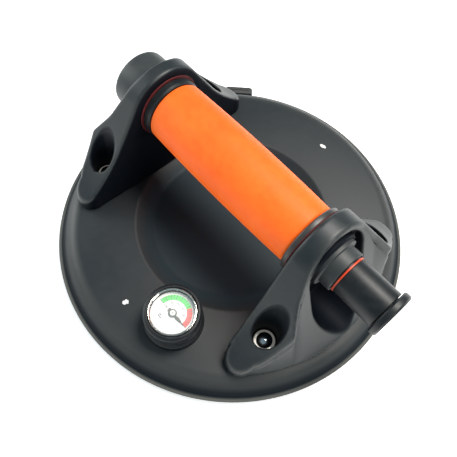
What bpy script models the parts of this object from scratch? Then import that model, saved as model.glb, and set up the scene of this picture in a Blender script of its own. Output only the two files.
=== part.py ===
"""Hand-pump vacuum lifter: a round suction pad, two saddle brackets and a grip that holds the pump.

Metres, +Z up. The origin is the middle of the pad on the surface that it stands on, and the
handle runs along X with the pump's plunger at +X.
"""

import math

import bmesh
import bpy
from mathutils import Matrix, Vector

MM = 0.001

# ---- clearances ----
FIT_GAP = 0.3 * MM          # between pieces that touch
RUNNING_GAP = 0.4 * MM      # round a shaft that slides or turns

# ---- suction pad ----
PAD_RADIUS = 102.5 * MM
PAD_TOP = 14.0 * MM
RIM_FLARE = 11.0 * MM       # how far the lip's edge stands out past the shoulder
RIM_WALL = 3.6 * MM
SKIN = 2.0 * MM
LIP_RISE = 2.6 * MM         # lip's underside above the floor
RING_WIDTH = 35.0 * MM      # flat ring between the dish and the shoulder
DISH_SLOPE_WIDTH = 10.0 * MM
DISH_CLEARANCE = 0.6 * MM   # the liner's lowest point above the floor
DISH_SAG = 0.8 * MM         # how far the dish's floor bows below its edge
PLATE_THICKNESS = 3.2 * MM
LINER_THICKNESS = 1.8 * MM
SEAL_WIDTH = 10.0 * MM
PIN_RADIUS = 1.5 * MM
PIN_INSET = 9.9 * MM        # each locating pin's distance in from the rim's inner wall

# ---- release tab ----
TAB_ANGLE = math.radians(135)
TAB_WIDTH = 18.4 * MM
TAB_REACH = 3.1 * MM        # how far it stands out past the lip
TAB_THICKNESS = 2.4 * MM
TAB_ROOT = 2.4 * MM         # the root's distance in from the lip's edge

# ---- handle line ----
HANDLE_RISE = 51.8 * MM     # the handle's axis above the pad's top
HANDLE_INSET = 43.0 * MM    # each end of the grip in from the shoulder
GRIP_WALL = 4.3 * MM
GRIP_TAPER = 0.9 * MM
COLLAR_WIDTH = 4.2 * MM
GASKET_WIDTH = 0.6 * MM
BARREL_RADIUS = 13.2 * MM
BARREL_WALL = 1.7 * MM

# ---- brackets ----
HUB_WALL = 8.0 * MM         # round the barrel
HUB_EDGE = 3.4 * MM         # hub's rolled edge outside the arch
WALL = 7.8 * MM             # upright wall that carries the barrel
SKIRT_INSET = 0.5 * MM      # foot of the outer skirt in from the shoulder
FOOT_TIP_RADIUS = 8.4 * MM
FOOT_TIP_OUT = 9.0 * MM     # middle of the foot's round tip out from the inner wall
FOOT_TIP_MARGIN = 0.12 * MM
FOOT_TIP_RISE = 6.6 * MM    # strip above the pad's top at its tip
KNEE_RISE = 23.5 * MM       # strip above the pad's top where its fall eases
KNEE_FROM_TIP = 10.6 * MM   # the knee back from the tip's middle
STRIP_STEP = 1.8 * MM       # the strip stands this far above the skirt
ARCH_DROP = 15.8 * MM       # from the handle's axis down to where the arch's sides start to close
SILL_RISE = 3.0 * MM        # arch's lowest point above the pad's top
EDGE_ROUND = 2.4 * MM

# ---- bracket screws ----
SCREW_OUT = 4.0 * MM        # from the upright wall
SCREW_FROM_TIP = 14.0 * MM
SCREW_RADIUS = 2.5 * MM
SCREW_HEAD_OVERLAP = 1.7 * MM
WASHER_OVERLAP = 1.4 * MM
WASHER_THICKNESS = 1.0 * MM
POCKET_RISE = 9.0 * MM      # pocket's floor above the pad's top
POCKET_CLEARANCE = 0.9 * MM  # round the washer
POCKET_DRAFT = 0.05
INSERT_WALL = 1.5 * MM

# ---- pump ----
STROKE = 22.0 * MM
PLUNGER_CLEARANCE = 1.4 * MM
PLUNGER_WALL = 2.0 * MM
PLUNGER_STANDOFF = 1.8 * MM  # left between the flange and the nose at full stroke
FLANGE_OVERLAP = 2.0 * MM
FLANGE_THICKNESS = 4.0 * MM
NOSE_LENGTH = 11.0 * MM     # past the upright wall
NOSE_WALL = 1.2 * MM
NOSE_INSERT = 9.5 * MM
NUT_WIDTH = 2.6 * MM
NUT_WALL = 2.0 * MM
ROD_RADIUS = 3.5 * MM
PISTON_LENGTH = 6.0 * MM
GUIDE_LENGTH = 6.0 * MM
GUIDE_DISTANCE = 16.5 * MM  # from the piston at rest
SPRING_WIRE = 0.8 * MM
SPRING_TURNS = 8

# ---- end cap and valve ----
CAP_OVERLAP = 3.2 * MM      # over the barrel
CAP_LENGTH = 17.4 * MM      # past the upright wall
CAP_WALL = 2.0 * MM
VALVE_SEAT_DEPTH = 0.5 * MM
VALVE_SEAT_LENGTH = 6.0 * MM
VALVE_HOLE = 2.0 * MM
POPPET_RADIUS = 4.5 * MM
POPPET_THICKNESS = 1.8 * MM
POPPET_LIFT = 1.2 * MM
VALVE_SPRING_LENGTH = 2.8 * MM
VALVE_SPRING_RADIUS = 3.0 * MM
VALVE_SPRING_WIRE = 0.3 * MM
CAGE_THICKNESS = 1.2 * MM
TUBE_OUT = 8.0 * MM         # from the upright wall
TUBE_RADIUS = 3.2 * MM
TUBE_BORE = 1.9 * MM
BARB_LENGTH = 5.0 * MM

# ---- gauge ----
GAUGE_X = 25.2 * MM
GAUGE_INSET = 26.5 * MM     # in from the shoulder's front
GAUGE_BASE_STEP = 1.5 * MM
GAUGE_BASE_HEIGHT = 5.0 * MM
GAUGE_RADIUS = 14.9 * MM
GAUGE_HOUSING_HEIGHT = 8.2 * MM
GAUGE_WALL = 1.5 * MM
DIAL_CLEARANCE = 1.6 * MM
DIAL_THICKNESS = 0.6 * MM
LENS_THICKNESS = 1.1 * MM
BEZEL_HEIGHT = 3.6 * MM
STEM_RADIUS = 4.0 * MM
ARBOR_RADIUS = 0.5 * MM
NEEDLE_MARGIN = 3.2 * MM    # needle's tip in from the dial's edge
NEEDLE_TAIL = 3.2 * MM

# ---- values that follow from the ones above ----
SHOULDER_RADIUS = PAD_RADIUS - RIM_FLARE
DISH_RADIUS = SHOULDER_RADIUS - RING_WIDTH
PLATE_TOP = PAD_TOP - SKIN - FIT_GAP
PLATE_BOTTOM = PLATE_TOP - PLATE_THICKNESS
LINER_TOP = PLATE_BOTTOM - FIT_GAP
LINER_BOTTOM = LINER_TOP - LINER_THICKNESS
DISH_DEPTH = LINER_BOTTOM - DISH_SAG - DISH_CLEARANCE
RIM_INNER = SHOULDER_RADIUS - RIM_WALL
PIN_SPREAD = RIM_INNER - PIN_INSET
PLATE_RADIUS = RIM_INNER - FIT_GAP
LIP_TOP = LIP_RISE + 1.3 * MM
HANDLE_HEIGHT = PAD_TOP + HANDLE_RISE
GRIP_HALF = SHOULDER_RADIUS - HANDLE_INSET
GRIP_RADIUS = BARREL_RADIUS + GRIP_WALL
BARREL_BORE = BARREL_RADIUS - BARREL_WALL
BRACKET_BASE = PAD_TOP + FIT_GAP
COLLAR_START = GRIP_HALF + FIT_GAP
COLLAR_END = COLLAR_START + COLLAR_WIDTH
GASKET_START = COLLAR_END + FIT_GAP
GASKET_END = GASKET_START + GASKET_WIDTH
BRACKET_IN = GASKET_END + FIT_GAP
WALL_OUT = BRACKET_IN + WALL
COLLAR_RADIUS = GRIP_RADIUS - GRIP_TAPER
HUB_RADIUS = BARREL_RADIUS + HUB_WALL
ARCH_RADIUS = HUB_RADIUS - HUB_EDGE
ARCH_SPRING = HANDLE_HEIGHT - ARCH_DROP
ARCH_SILL = PAD_TOP + SILL_RISE
BASE_RADIUS = SHOULDER_RADIUS - SKIRT_INSET
FOOT_TIP_X = BRACKET_IN + FOOT_TIP_OUT
FOOT_TIP_Y = math.sqrt((BASE_RADIUS - FOOT_TIP_RADIUS - FOOT_TIP_MARGIN) ** 2 - FOOT_TIP_X ** 2)
STRIP_REACH = FOOT_TIP_Y + FOOT_TIP_RADIUS
KNEE_Y = FOOT_TIP_Y - KNEE_FROM_TIP
KNEE_FALL = HANDLE_RISE - KNEE_RISE
# the line that touches the hub's circle and passes through the knee
STRIP_SLOPE = ((KNEE_Y * KNEE_FALL + HUB_RADIUS * math.sqrt(KNEE_Y ** 2 + KNEE_FALL ** 2 - HUB_RADIUS ** 2))
               / (KNEE_Y ** 2 - HUB_RADIUS ** 2))
SCREW_X = WALL_OUT + SCREW_OUT
SCREW_Y = FOOT_TIP_Y - SCREW_FROM_TIP
SCREW_HEAD_RADIUS = SCREW_RADIUS + SCREW_HEAD_OVERLAP
WASHER_RADIUS = SCREW_HEAD_RADIUS + WASHER_OVERLAP
POCKET_RADIUS = WASHER_RADIUS + POCKET_CLEARANCE
POCKET_FLOOR = PAD_TOP + POCKET_RISE
HUB_BORE = BARREL_RADIUS + FIT_GAP
NUT_START = WALL_OUT + FIT_GAP
NUT_END = NUT_START + NUT_WIDTH
BARREL_RIGHT = NUT_END + FIT_GAP
BARREL_LEFT = -(WALL_OUT + 2.5 * MM)
PLUNGER_RADIUS = BARREL_BORE - PLUNGER_CLEARANCE
FLANGE_RADIUS = PLUNGER_RADIUS + FLANGE_OVERLAP
NOSE_END = WALL_OUT + NOSE_LENGTH
NOSE_RADIUS = PLUNGER_RADIUS + NOSE_WALL
PLUNGER_END = NOSE_END + STROKE + PLUNGER_STANDOFF
NOSE_BORE = PLUNGER_RADIUS + RUNNING_GAP
NOSE_INNER_END = BARREL_RIGHT - NOSE_INSERT
PLUNGER_FOOT_END = NOSE_INNER_END - FIT_GAP
PLUNGER_FOOT_START = PLUNGER_FOOT_END - 4.2 * MM
SLIDING_RADIUS = BARREL_BORE - RUNNING_GAP
FIXED_IN_BARREL = BARREL_BORE - FIT_GAP
SPRING_RADIUS = (PLUNGER_RADIUS - PLUNGER_WALL + SLIDING_RADIUS) / 2  # it bears on the plunger's foot
CAP_RADIUS = BARREL_RADIUS + CAP_OVERLAP
CAP_END = -(WALL_OUT + CAP_LENGTH)
TUBE_X = -(WALL_OUT + TUBE_OUT)
VALVE_SEAT_START = BARREL_LEFT + VALVE_SEAT_DEPTH
VALVE_SEAT_END = VALVE_SEAT_START + VALVE_SEAT_LENGTH
POPPET_START = VALVE_SEAT_END + FIT_GAP
POPPET_END = POPPET_START + POPPET_THICKNESS
VALVE_SPRING_START = POPPET_END + FIT_GAP
CAGE_START = VALVE_SPRING_START + VALVE_SPRING_LENGTH + FIT_GAP
CAGE_END = CAGE_START + CAGE_THICKNESS
PISTON_START = CAGE_END + STROKE + 0.8 * MM
PISTON_END = PISTON_START + PISTON_LENGTH
GUIDE_START = PISTON_END + GUIDE_DISTANCE
GUIDE_END = GUIDE_START + GUIDE_LENGTH
POCKET_TOP = HANDLE_HEIGHT + HUB_RADIUS
GAUGE_FLOOR = PAD_TOP + FIT_GAP
GAUGE_Y = GAUGE_INSET - SHOULDER_RADIUS
GAUGE_BASE_RADIUS = GAUGE_RADIUS + GAUGE_BASE_STEP
DIAL_RADIUS = GAUGE_RADIUS - GAUGE_WALL - DIAL_CLEARANCE
NEEDLE_REACH = DIAL_RADIUS - NEEDLE_MARGIN
HOUSING_FLOOR = GAUGE_FLOOR + GAUGE_BASE_HEIGHT + FIT_GAP
HOUSING_TOP = HOUSING_FLOOR + GAUGE_HOUSING_HEIGHT
DIAL_BOTTOM = HOUSING_TOP - 1.6 * MM
DIAL_TOP = DIAL_BOTTOM + DIAL_THICKNESS
NEEDLE_BOTTOM = DIAL_TOP + 0.5 * MM
NEEDLE_TOP = NEEDLE_BOTTOM + 0.5 * MM
LENS_BOTTOM = HOUSING_TOP + FIT_GAP
LENS_TOP = LENS_BOTTOM + LENS_THICKNESS
BEZEL_TOP = LENS_TOP + 1.1 * MM
LENS_RADIUS = DIAL_RADIUS + 0.6 * MM

DISC_STEPS = 40
FINE_STEPS = 24
SMALL_STEPS = 12


# ---- scene, collections, materials ----

def clear_scene():
    for item in list(bpy.data.objects):
        bpy.data.objects.remove(item, do_unlink=True)


def make_collection(name):
    collection = bpy.data.collections.new(name)
    bpy.context.scene.collection.children.link(collection)
    return collection


def make_material(name, colour, roughness, metallic=0.0, alpha=1.0):
    material = bpy.data.materials.new(name)
    material.use_nodes = True
    shader = material.node_tree.nodes["Principled BSDF"]
    shader.inputs["Base Color"].default_value = (*colour, 1.0)
    shader.inputs["Roughness"].default_value = roughness
    shader.inputs["Metallic"].default_value = metallic
    shader.inputs["Alpha"].default_value = alpha
    material.diffuse_color = (*colour, alpha)
    return material


clear_scene()
PARTS = make_collection("vacuum_lifter")
CUTTERS = make_collection("cutters")

FINISHES = {
    "pad_rubber": ((0.035, 0.036, 0.038), 0.55, 0.0),
    "seal_rubber": ((0.05, 0.05, 0.05), 0.85, 0.0),
    "tab_rubber": ((0.05, 0.052, 0.052), 0.6, 0.0),
    "bracket_plastic": ((0.04, 0.042, 0.043), 0.45, 0.0),
    "grip_orange": ((0.9, 0.17, 0.03), 0.5, 0.0),
    "signal_red": ((0.8, 0.08, 0.03), 0.45, 0.0),
    "black_gloss": ((0.02, 0.02, 0.022), 0.3, 0.0),
    "aluminium": ((0.75, 0.76, 0.78), 0.35, 1.0),
    "steel": ((0.6, 0.6, 0.62), 0.25, 1.0),
    "brass": ((0.75, 0.55, 0.25), 0.35, 1.0),
    "chrome": ((0.85, 0.85, 0.87), 0.08, 1.0),
    "white_plastic": ((0.85, 0.86, 0.85), 0.4, 0.0),
    "needle_grey": ((0.3, 0.32, 0.34), 0.4, 0.0),
    "clear_lens": ((0.9, 0.95, 0.95), 0.05, 0.0),
    "clear_tube": ((0.7, 0.72, 0.72), 0.3, 0.0),
    "felt": ((0.6, 0.58, 0.5), 0.95, 0.0),
}


# ---- building blocks ----

def new_object(name, mesh, finish):
    piece = bpy.data.objects.new(name, mesh)
    PARTS.objects.link(piece)
    colour, roughness, metallic = FINISHES[finish]
    alpha = 0.35 if finish == "clear_lens" else 1.0
    piece.data.materials.append(make_material(name + "_finish", colour, roughness, metallic, alpha))
    return piece


def add_cutter(piece):
    for collection in list(piece.users_collection):
        collection.objects.unlink(piece)
    CUTTERS.objects.link(piece)
    piece.hide_render = True
    piece.display_type = "WIRE"
    return piece


def profile_mesh(name, points, closed):
    mesh = bpy.data.meshes.new(name)
    shape = bmesh.new()
    corners = [shape.verts.new((radius, 0.0, height)) for radius, height in points]
    for first, second in zip(corners, corners[1:]):
        shape.edges.new((first, second))
    if closed:
        shape.edges.new((corners[-1], corners[0]))
    shape.to_mesh(mesh)
    shape.free()
    return mesh


def turned(name, points, finish, steps=FINE_STEPS, closed=False, along_x=False, at=(0, 0, 0)):
    """A profile of (radius, height) points, down the outer side, turned about its own axis."""
    piece = new_object(name, profile_mesh(name, points, closed), finish)
    screw = piece.modifiers.new("turn", "SCREW")
    screw.axis = "Z"
    screw.steps = steps
    screw.render_steps = steps
    screw.use_merge_vertices = True
    screw.merge_threshold = 0.00002
    screw.use_smooth_shade = True
    piece.location = at
    if along_x:
        piece.rotation_euler = (0.0, math.pi / 2, 0.0)
    return piece


def ring(name, inner, outer, low, high, finish, steps=FINE_STEPS, along_x=False, at=(0, 0, 0), bevel=0.0):
    """A plain ring or washer between two radii and two heights, with its outer edges bevelled."""
    points = [(inner, high)]
    if bevel:
        points += [(outer - bevel, high), (outer, high - bevel), (outer, low + bevel), (outer - bevel, low)]
    else:
        points += [(outer, high), (outer, low)]
    points.append((inner, low))
    return turned(name, points, finish, steps, True, along_x, at)


def on_handle(name, points, finish, steps=FINE_STEPS, closed=False):
    """A turned piece on the handle's axis, whose heights are distances along X."""
    return turned(name, points, finish, steps, closed, True, (0.0, 0.0, HANDLE_HEIGHT))


def ring_on_handle(name, inner, outer, low, high, finish, steps=FINE_STEPS, bevel=0.0):
    return ring(name, inner, outer, low, high, finish, steps, True, (0.0, 0.0, HANDLE_HEIGHT), bevel)


def arc(centre, radius, start, end, count):
    """Points on an arc, angles in degrees from the profile's +radius direction."""
    points = []
    for step in range(count + 1):
        angle = math.radians(start + (end - start) * step / count)
        points.append((centre[0] + radius * math.cos(angle), centre[1] + radius * math.sin(angle)))
    return points


def cylinder_cutter(name, radius, low, high, at, along_x=False, top_radius=None, steps=FINE_STEPS):
    bpy.ops.mesh.primitive_cone_add(
        vertices=steps,
        radius1=radius,
        radius2=radius if top_radius is None else top_radius,
        depth=high - low,
        end_fill_type="NGON",
    )
    cutter = bpy.context.object
    cutter.name = name
    middle = (low + high) / 2
    # a quarter of a facet's turn keeps the cutter's corners off the corners of what it cuts
    cutter.data.transform(Matrix.Rotation(0.5 * math.pi / steps, 4, "Z"))
    if along_x:
        cutter.rotation_euler = (0.0, math.pi / 2, 0.0)
        cutter.location = (middle, at[0], at[1])
    else:
        cutter.location = (at[0], at[1], middle)
    return add_cutter(cutter)


def prism(name, outline, low, high, place):
    """A closed outline extruded from low to high; place turns (u, v, w) into a world point."""
    shape = bmesh.new()
    bottom = [shape.verts.new(place(u, v, low)) for u, v in outline]
    shape.faces.new(bottom)
    grown = bmesh.ops.extrude_face_region(shape, geom=shape.faces[:])
    shift = Vector(place(0, 0, high)) - Vector(place(0, 0, low))
    moved = [item for item in grown["geom"] if isinstance(item, bmesh.types.BMVert)]
    bmesh.ops.translate(shape, vec=shift, verts=moved)
    bmesh.ops.recalc_face_normals(shape, faces=shape.faces[:])
    mesh = bpy.data.meshes.new(name)
    shape.to_mesh(mesh)
    shape.free()
    return mesh


def boolean(piece, cutter, operation="DIFFERENCE"):
    modifier = piece.modifiers.new(cutter.name, "BOOLEAN")
    modifier.operation = operation
    modifier.solver = "EXACT"
    modifier.object = cutter
    return piece


def coil(name, radius, wire, start, end, turns, finish, points_a_turn=8):
    """A compression spring along X on the handle's axis, as one bevelled poly spline."""
    curve = bpy.data.curves.new(name + "_path", "CURVE")
    curve.dimensions = "3D"
    curve.bevel_depth = wire
    curve.bevel_resolution = 2
    curve.use_fill_caps = True
    count = turns * points_a_turn
    spline = curve.splines.new("POLY")
    spline.points.add(count)
    low = start + wire
    high = end - wire
    for step in range(count + 1):
        angle = 2 * math.pi * step / points_a_turn
        along = low + (high - low) * step / count
        across = radius * math.cos(angle)
        up = HANDLE_HEIGHT + radius * math.sin(angle)
        spline.points[step].co = (along, across, up, 1.0)
    path = bpy.data.objects.new(name + "_path", curve)
    CUTTERS.objects.link(path)
    bpy.context.view_layer.update()
    evaluated = path.evaluated_get(bpy.context.evaluated_depsgraph_get())
    mesh = bpy.data.meshes.new_from_object(evaluated)
    mesh.name = name
    shape = bmesh.new()
    shape.from_mesh(mesh)
    bmesh.ops.remove_doubles(shape, verts=shape.verts[:], dist=0.00001)
    shape.to_mesh(mesh)
    shape.free()
    mesh.materials.clear()
    piece = new_object(name, mesh, finish)
    piece.matrix_world = path.matrix_world
    bpy.data.objects.remove(path, do_unlink=True)
    return piece


# ---- suction pad and what is under it ----

def dished(top, outer, thickness=0.0):
    """The dish's section from the middle out to a radius, at a height measured on the flat ring."""
    floor_radius = DISH_RADIUS - DISH_SLOPE_WIDTH
    points = []
    for share in (0.0, 0.55, 1.0):
        sag = DISH_SAG * (1 - share ** 2)
        points.append((floor_radius * share, top - DISH_DEPTH - sag - thickness))
    points.append((DISH_RADIUS - 0.15 * DISH_SLOPE_WIDTH, top - 0.08 * DISH_DEPTH - thickness))
    points.append((DISH_RADIUS + 0.1 * DISH_SLOPE_WIDTH, top - thickness))
    points.append((outer, top - thickness))
    return points


def build_pad():
    wall_round = 4.0 * MM
    flare_start = PAD_RADIUS - 4.6 * MM
    outside = dished(PAD_TOP, SHOULDER_RADIUS - 1.0 * MM)
    outside += arc((SHOULDER_RADIUS, PAD_TOP - wall_round), wall_round, 75, 15, 3)
    outside += [
        (flare_start - 1.2 * MM, LIP_TOP + 3.4 * MM),
        (flare_start, LIP_TOP + 1.4 * MM),
        (flare_start + 1.6 * MM, LIP_TOP + 0.4 * MM),
        (PAD_RADIUS - 0.5 * MM, LIP_TOP),
        (PAD_RADIUS, LIP_TOP - 0.5 * MM),
        (PAD_RADIUS - 0.3 * MM, LIP_RISE),
        (RIM_INNER + 2.0 * MM, LIP_RISE),
        (RIM_INNER, LIP_RISE + 2.0 * MM),
    ]
    inside = dished(PAD_TOP - SKIN, RIM_INNER)
    pad = turned("suction_pad", outside + inside[::-1], "pad_rubber", DISC_STEPS)
    root = tab_block("tab_root_block", PAD_RADIUS - 7.5 * MM, tab_root_radius() - FIT_GAP,
                     TAB_WIDTH / 2 - 0.6 * MM, LIP_TOP - 0.6 * MM, tab_bottom() + TAB_THICKNESS)
    boolean(pad, add_cutter(root), "UNION")
    for x in (-SCREW_X, SCREW_X):
        for y in (-SCREW_Y, SCREW_Y):
            boolean(pad, cylinder_cutter("pad_screw_hole", SCREW_RADIUS + FIT_GAP, 0.0, 2 * PAD_TOP, (x, y),
                                         steps=SMALL_STEPS))
    for side in (-1, 1):
        boolean(pad, cylinder_cutter("pad_pin_hole", PIN_RADIUS + FIT_GAP, 0.0, 2 * PAD_TOP,
                                     (0.0, side * PIN_SPREAD), steps=SMALL_STEPS))
    boolean(pad, cylinder_cutter("pad_gauge_hole", STEM_RADIUS + FIT_GAP, 0.0, 2 * PAD_TOP,
                                 (GAUGE_X, GAUGE_Y), steps=SMALL_STEPS))
    boolean(pad, cylinder_cutter("pad_air_hole", TUBE_RADIUS + FIT_GAP, 0.0, 2 * PAD_TOP, (TUBE_X, 0.0),
                                 steps=SMALL_STEPS))
    return pad


def build_plate():
    upper = dished(PLATE_TOP, PLATE_RADIUS)
    lower = dished(PLATE_TOP, PLATE_RADIUS, PLATE_THICKNESS)
    plate = turned("backing_plate", upper + lower[::-1], "aluminium", DISC_STEPS)
    for side in (-1, 1):
        pin = cylinder_cutter("plate_pin", PIN_RADIUS, PLATE_TOP - 1.0 * MM, PAD_TOP - FIT_GAP,
                              (0.0, side * PIN_SPREAD), steps=SMALL_STEPS)
        boolean(plate, pin, "UNION")
    insert_hole = SCREW_RADIUS + FIT_GAP + INSERT_WALL + FIT_GAP
    for x in (-SCREW_X, SCREW_X):
        for y in (-SCREW_Y, SCREW_Y):
            boolean(plate, cylinder_cutter("plate_insert_hole", insert_hole, 0.0, 2 * PAD_TOP, (x, y),
                                           steps=SMALL_STEPS))
    boolean(plate, cylinder_cutter("plate_gauge_hole", STEM_RADIUS + FIT_GAP, 0.0, 2 * PAD_TOP,
                                   (GAUGE_X, GAUGE_Y), steps=SMALL_STEPS))
    boolean(plate, cylinder_cutter("plate_air_hole", TUBE_RADIUS + FIT_GAP, 0.0, 2 * PAD_TOP, (TUBE_X, 0.0),
                                   steps=SMALL_STEPS))
    return plate


def build_liner():
    liner_radius = PLATE_RADIUS - 0.5 * MM
    upper = dished(LINER_TOP, liner_radius)
    lower = dished(LINER_TOP, liner_radius, LINER_THICKNESS)
    liner = turned("pad_liner", upper + lower[::-1], "pad_rubber", DISC_STEPS)
    filter_radius = TUBE_RADIUS + 3.5 * MM
    boolean(liner, cylinder_cutter("liner_filter_hole", filter_radius + FIT_GAP, 0.0, PAD_TOP, (TUBE_X, 0.0),
                                   steps=SMALL_STEPS))
    turned("filter_disc",
           [(0.0, LINER_TOP), (filter_radius, LINER_TOP), (filter_radius, LINER_BOTTOM), (0.0, LINER_BOTTOM)],
           "felt", SMALL_STEPS, at=(TUBE_X, 0.0, 0.0))
    return liner


def build_seal():
    outer = PAD_RADIUS - 0.5 * MM
    top = LIP_RISE - FIT_GAP
    points = [(outer - SEAL_WIDTH, top), (outer - 0.4 * MM, top), (outer, top - 0.4 * MM),
              (outer - 0.2 * MM, 0.0), (outer - SEAL_WIDTH + 0.4 * MM, 0.0)]
    return turned("sealing_ring", points, "seal_rubber", DISC_STEPS, closed=True)


# ---- release tab ----

def tab_bottom():
    return LIP_TOP + 1.2 * MM


def tab_root_radius():
    return PAD_RADIUS - TAB_ROOT


def tab_place(outward, across, height):
    out = Vector((math.cos(TAB_ANGLE), math.sin(TAB_ANGLE), 0.0))
    side = Vector((-math.sin(TAB_ANGLE), math.cos(TAB_ANGLE), 0.0))
    return out * outward + side * across + Vector((0.0, 0.0, height))


def tab_block(name, inner, outer, half_width, low, high):
    outline = [(inner, -half_width), (outer, -half_width), (outer, half_width), (inner, half_width)]
    block = bpy.data.objects.new(name, prism(name, outline, low, high, tab_place))
    return block


def build_tab():
    """A rounded rubber flap, hinged at the top of its root, with a raised grip rib near its outer edge."""
    inner = tab_root_radius()
    outer = PAD_RADIUS + TAB_REACH
    half = TAB_WIDTH / 2
    corner = 2.2 * MM
    outline = [(inner, -half)]
    outline += arc((outer - corner, -half + corner), corner, -90, 0, 4)
    outline += arc((outer - corner, half - corner), corner, 0, 90, 4)
    outline.append((inner, half))
    pivot = tab_place(inner + 0.4 * MM, 0.0, tab_bottom() + TAB_THICKNESS)

    def from_pivot(outward, across, height):
        return tab_place(outward, across, height) - pivot

    tab = new_object("release_tab", prism("release_tab", outline, tab_bottom(), tab_bottom() + TAB_THICKNESS,
                                          from_pivot), "tab_rubber")
    tab.location = pivot
    bpy.ops.mesh.primitive_cylinder_add(vertices=SMALL_STEPS, radius=1.1 * MM, depth=TAB_WIDTH - 3.0 * MM)
    rib = add_cutter(bpy.context.object)
    rib.name = "tab_rib"
    rib.rotation_euler = (math.pi / 2, 0.0, TAB_ANGLE)
    rib.location = tab_place(outer - 2.4 * MM, 0.0, tab_bottom() + TAB_THICKNESS - 0.2 * MM)
    boolean(tab, rib, "UNION")
    return tab


# ---- brackets ----

def strip_height(y):
    """Top of the bracket's strip: round over the hub, steeply down to a knee, then gently to each foot's tip."""
    across = abs(y)
    tangent = HUB_RADIUS * math.sin(math.atan(STRIP_SLOPE))
    if across < tangent:
        return HANDLE_HEIGHT + math.sqrt(HUB_RADIUS ** 2 - across ** 2)
    if across < KNEE_Y:
        return HANDLE_HEIGHT + HUB_RADIUS * math.hypot(1.0, STRIP_SLOPE) - STRIP_SLOPE * across
    share = (across - KNEE_Y) / (STRIP_REACH - KNEE_Y)
    return PAD_TOP + KNEE_RISE + (FOOT_TIP_RISE - KNEE_RISE) * share


def tip_inset(y):
    """How far the foot's round tip pulls both edges in towards its centre line, 0 to 1."""
    past = max(0.0, abs(y) - FOOT_TIP_Y) / FOOT_TIP_RADIUS
    return 1.0 - math.sqrt(max(0.0, 1.0 - past * past))


def strip_edges(y):
    """The strip's inner and outer edge: it widens round the screw pocket and narrows over the hub."""
    across = abs(y)
    hub_out = BRACKET_IN + 11.0 * MM
    pocket_out = SCREW_X + POCKET_RADIUS + 4.8 * MM
    tip_out = FOOT_TIP_X + FOOT_TIP_RADIUS
    pocket_y = SCREW_Y - 3.5 * MM
    if across < pocket_y:
        share = max(0.0, (across - 0.72 * HUB_RADIUS) / (pocket_y - 0.72 * HUB_RADIUS))
        outer = hub_out + (pocket_out - hub_out) * share ** 1.5
    else:
        share = min(1.0, (across - pocket_y) / (FOOT_TIP_Y - pocket_y))
        outer = pocket_out + (tip_out - pocket_out) * share
    inner = BRACKET_IN
    pull = tip_inset(y)
    inner += (FOOT_TIP_X - inner) * pull
    outer += (FOOT_TIP_X - outer) * pull
    return inner, outer


def skirt_base(y):
    """Foot of the outer skirt on the pad: a circle about the pad's middle, closed in at the tips."""
    base = math.sqrt(BASE_RADIUS ** 2 - y * y)
    return base + (FOOT_TIP_X - base) * tip_inset(y) * 0.9


def bracket_section(y, skirt_points=5):
    """One section of the bracket in X and Z, from the inner wall over the strip and down the skirt."""
    inner, outer = strip_edges(y)
    top = strip_height(y)
    half = (outer - inner) / 2
    edge = min(EDGE_ROUND, 0.7 * half)
    base = max(skirt_base(y), outer + 0.6 * MM)
    points = [(inner, BRACKET_BASE), (inner, top - edge)]
    points += [(inner + edge - edge * math.cos(math.radians(a)), top - edge + edge * math.sin(math.radians(a)))
               for a in (45, 90)]
    points += [(outer - edge + edge * math.sin(math.radians(a)), top - edge + edge * math.cos(math.radians(a)))
               for a in (0, 45, 90)]
    skirt_top = top - edge - STRIP_STEP
    skirt_start = outer + 0.5 * MM
    for step in range(skirt_points + 1):
        share = step / skirt_points
        x = skirt_start + (base - skirt_start) * share
        z = skirt_top + (BRACKET_BASE + 0.8 * MM - skirt_top) * (1 - (1 - share) ** 1.35)
        points.append((x, z))
    points.append((base, BRACKET_BASE))
    return points


def bracket_stations():
    """Where the sections stand along Y: close together over the hub and round the tips."""
    half = [HUB_RADIUS * math.sin(math.radians(a)) for a in (0, 14, 28, 42, 56, 70)]
    half += [HUB_RADIUS + 1.5 * MM, SCREW_Y - 10 * MM, SCREW_Y - 3.5 * MM, KNEE_Y, FOOT_TIP_Y - 3 * MM]
    half += [FOOT_TIP_Y + FOOT_TIP_RADIUS * math.sin(math.radians(a)) for a in (0, 20, 40, 58, 74, 86)]
    return sorted([-y for y in half if 0.0 < y < STRIP_REACH] + [y for y in half if y < STRIP_REACH])


def arch_outline():
    """Arched opening round the barrel, in Y and Z: a half round over straight sides and an oval foot."""
    points = arc((0.0, HANDLE_HEIGHT), ARCH_RADIUS, 0, 180, 12)
    drop = ARCH_SPRING - ARCH_SILL
    for step in range(1, 10):
        angle = math.pi + math.pi * step / 10
        points.append((ARCH_RADIUS * math.cos(angle), ARCH_SPRING + drop * math.sin(angle)))
    return points


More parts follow.
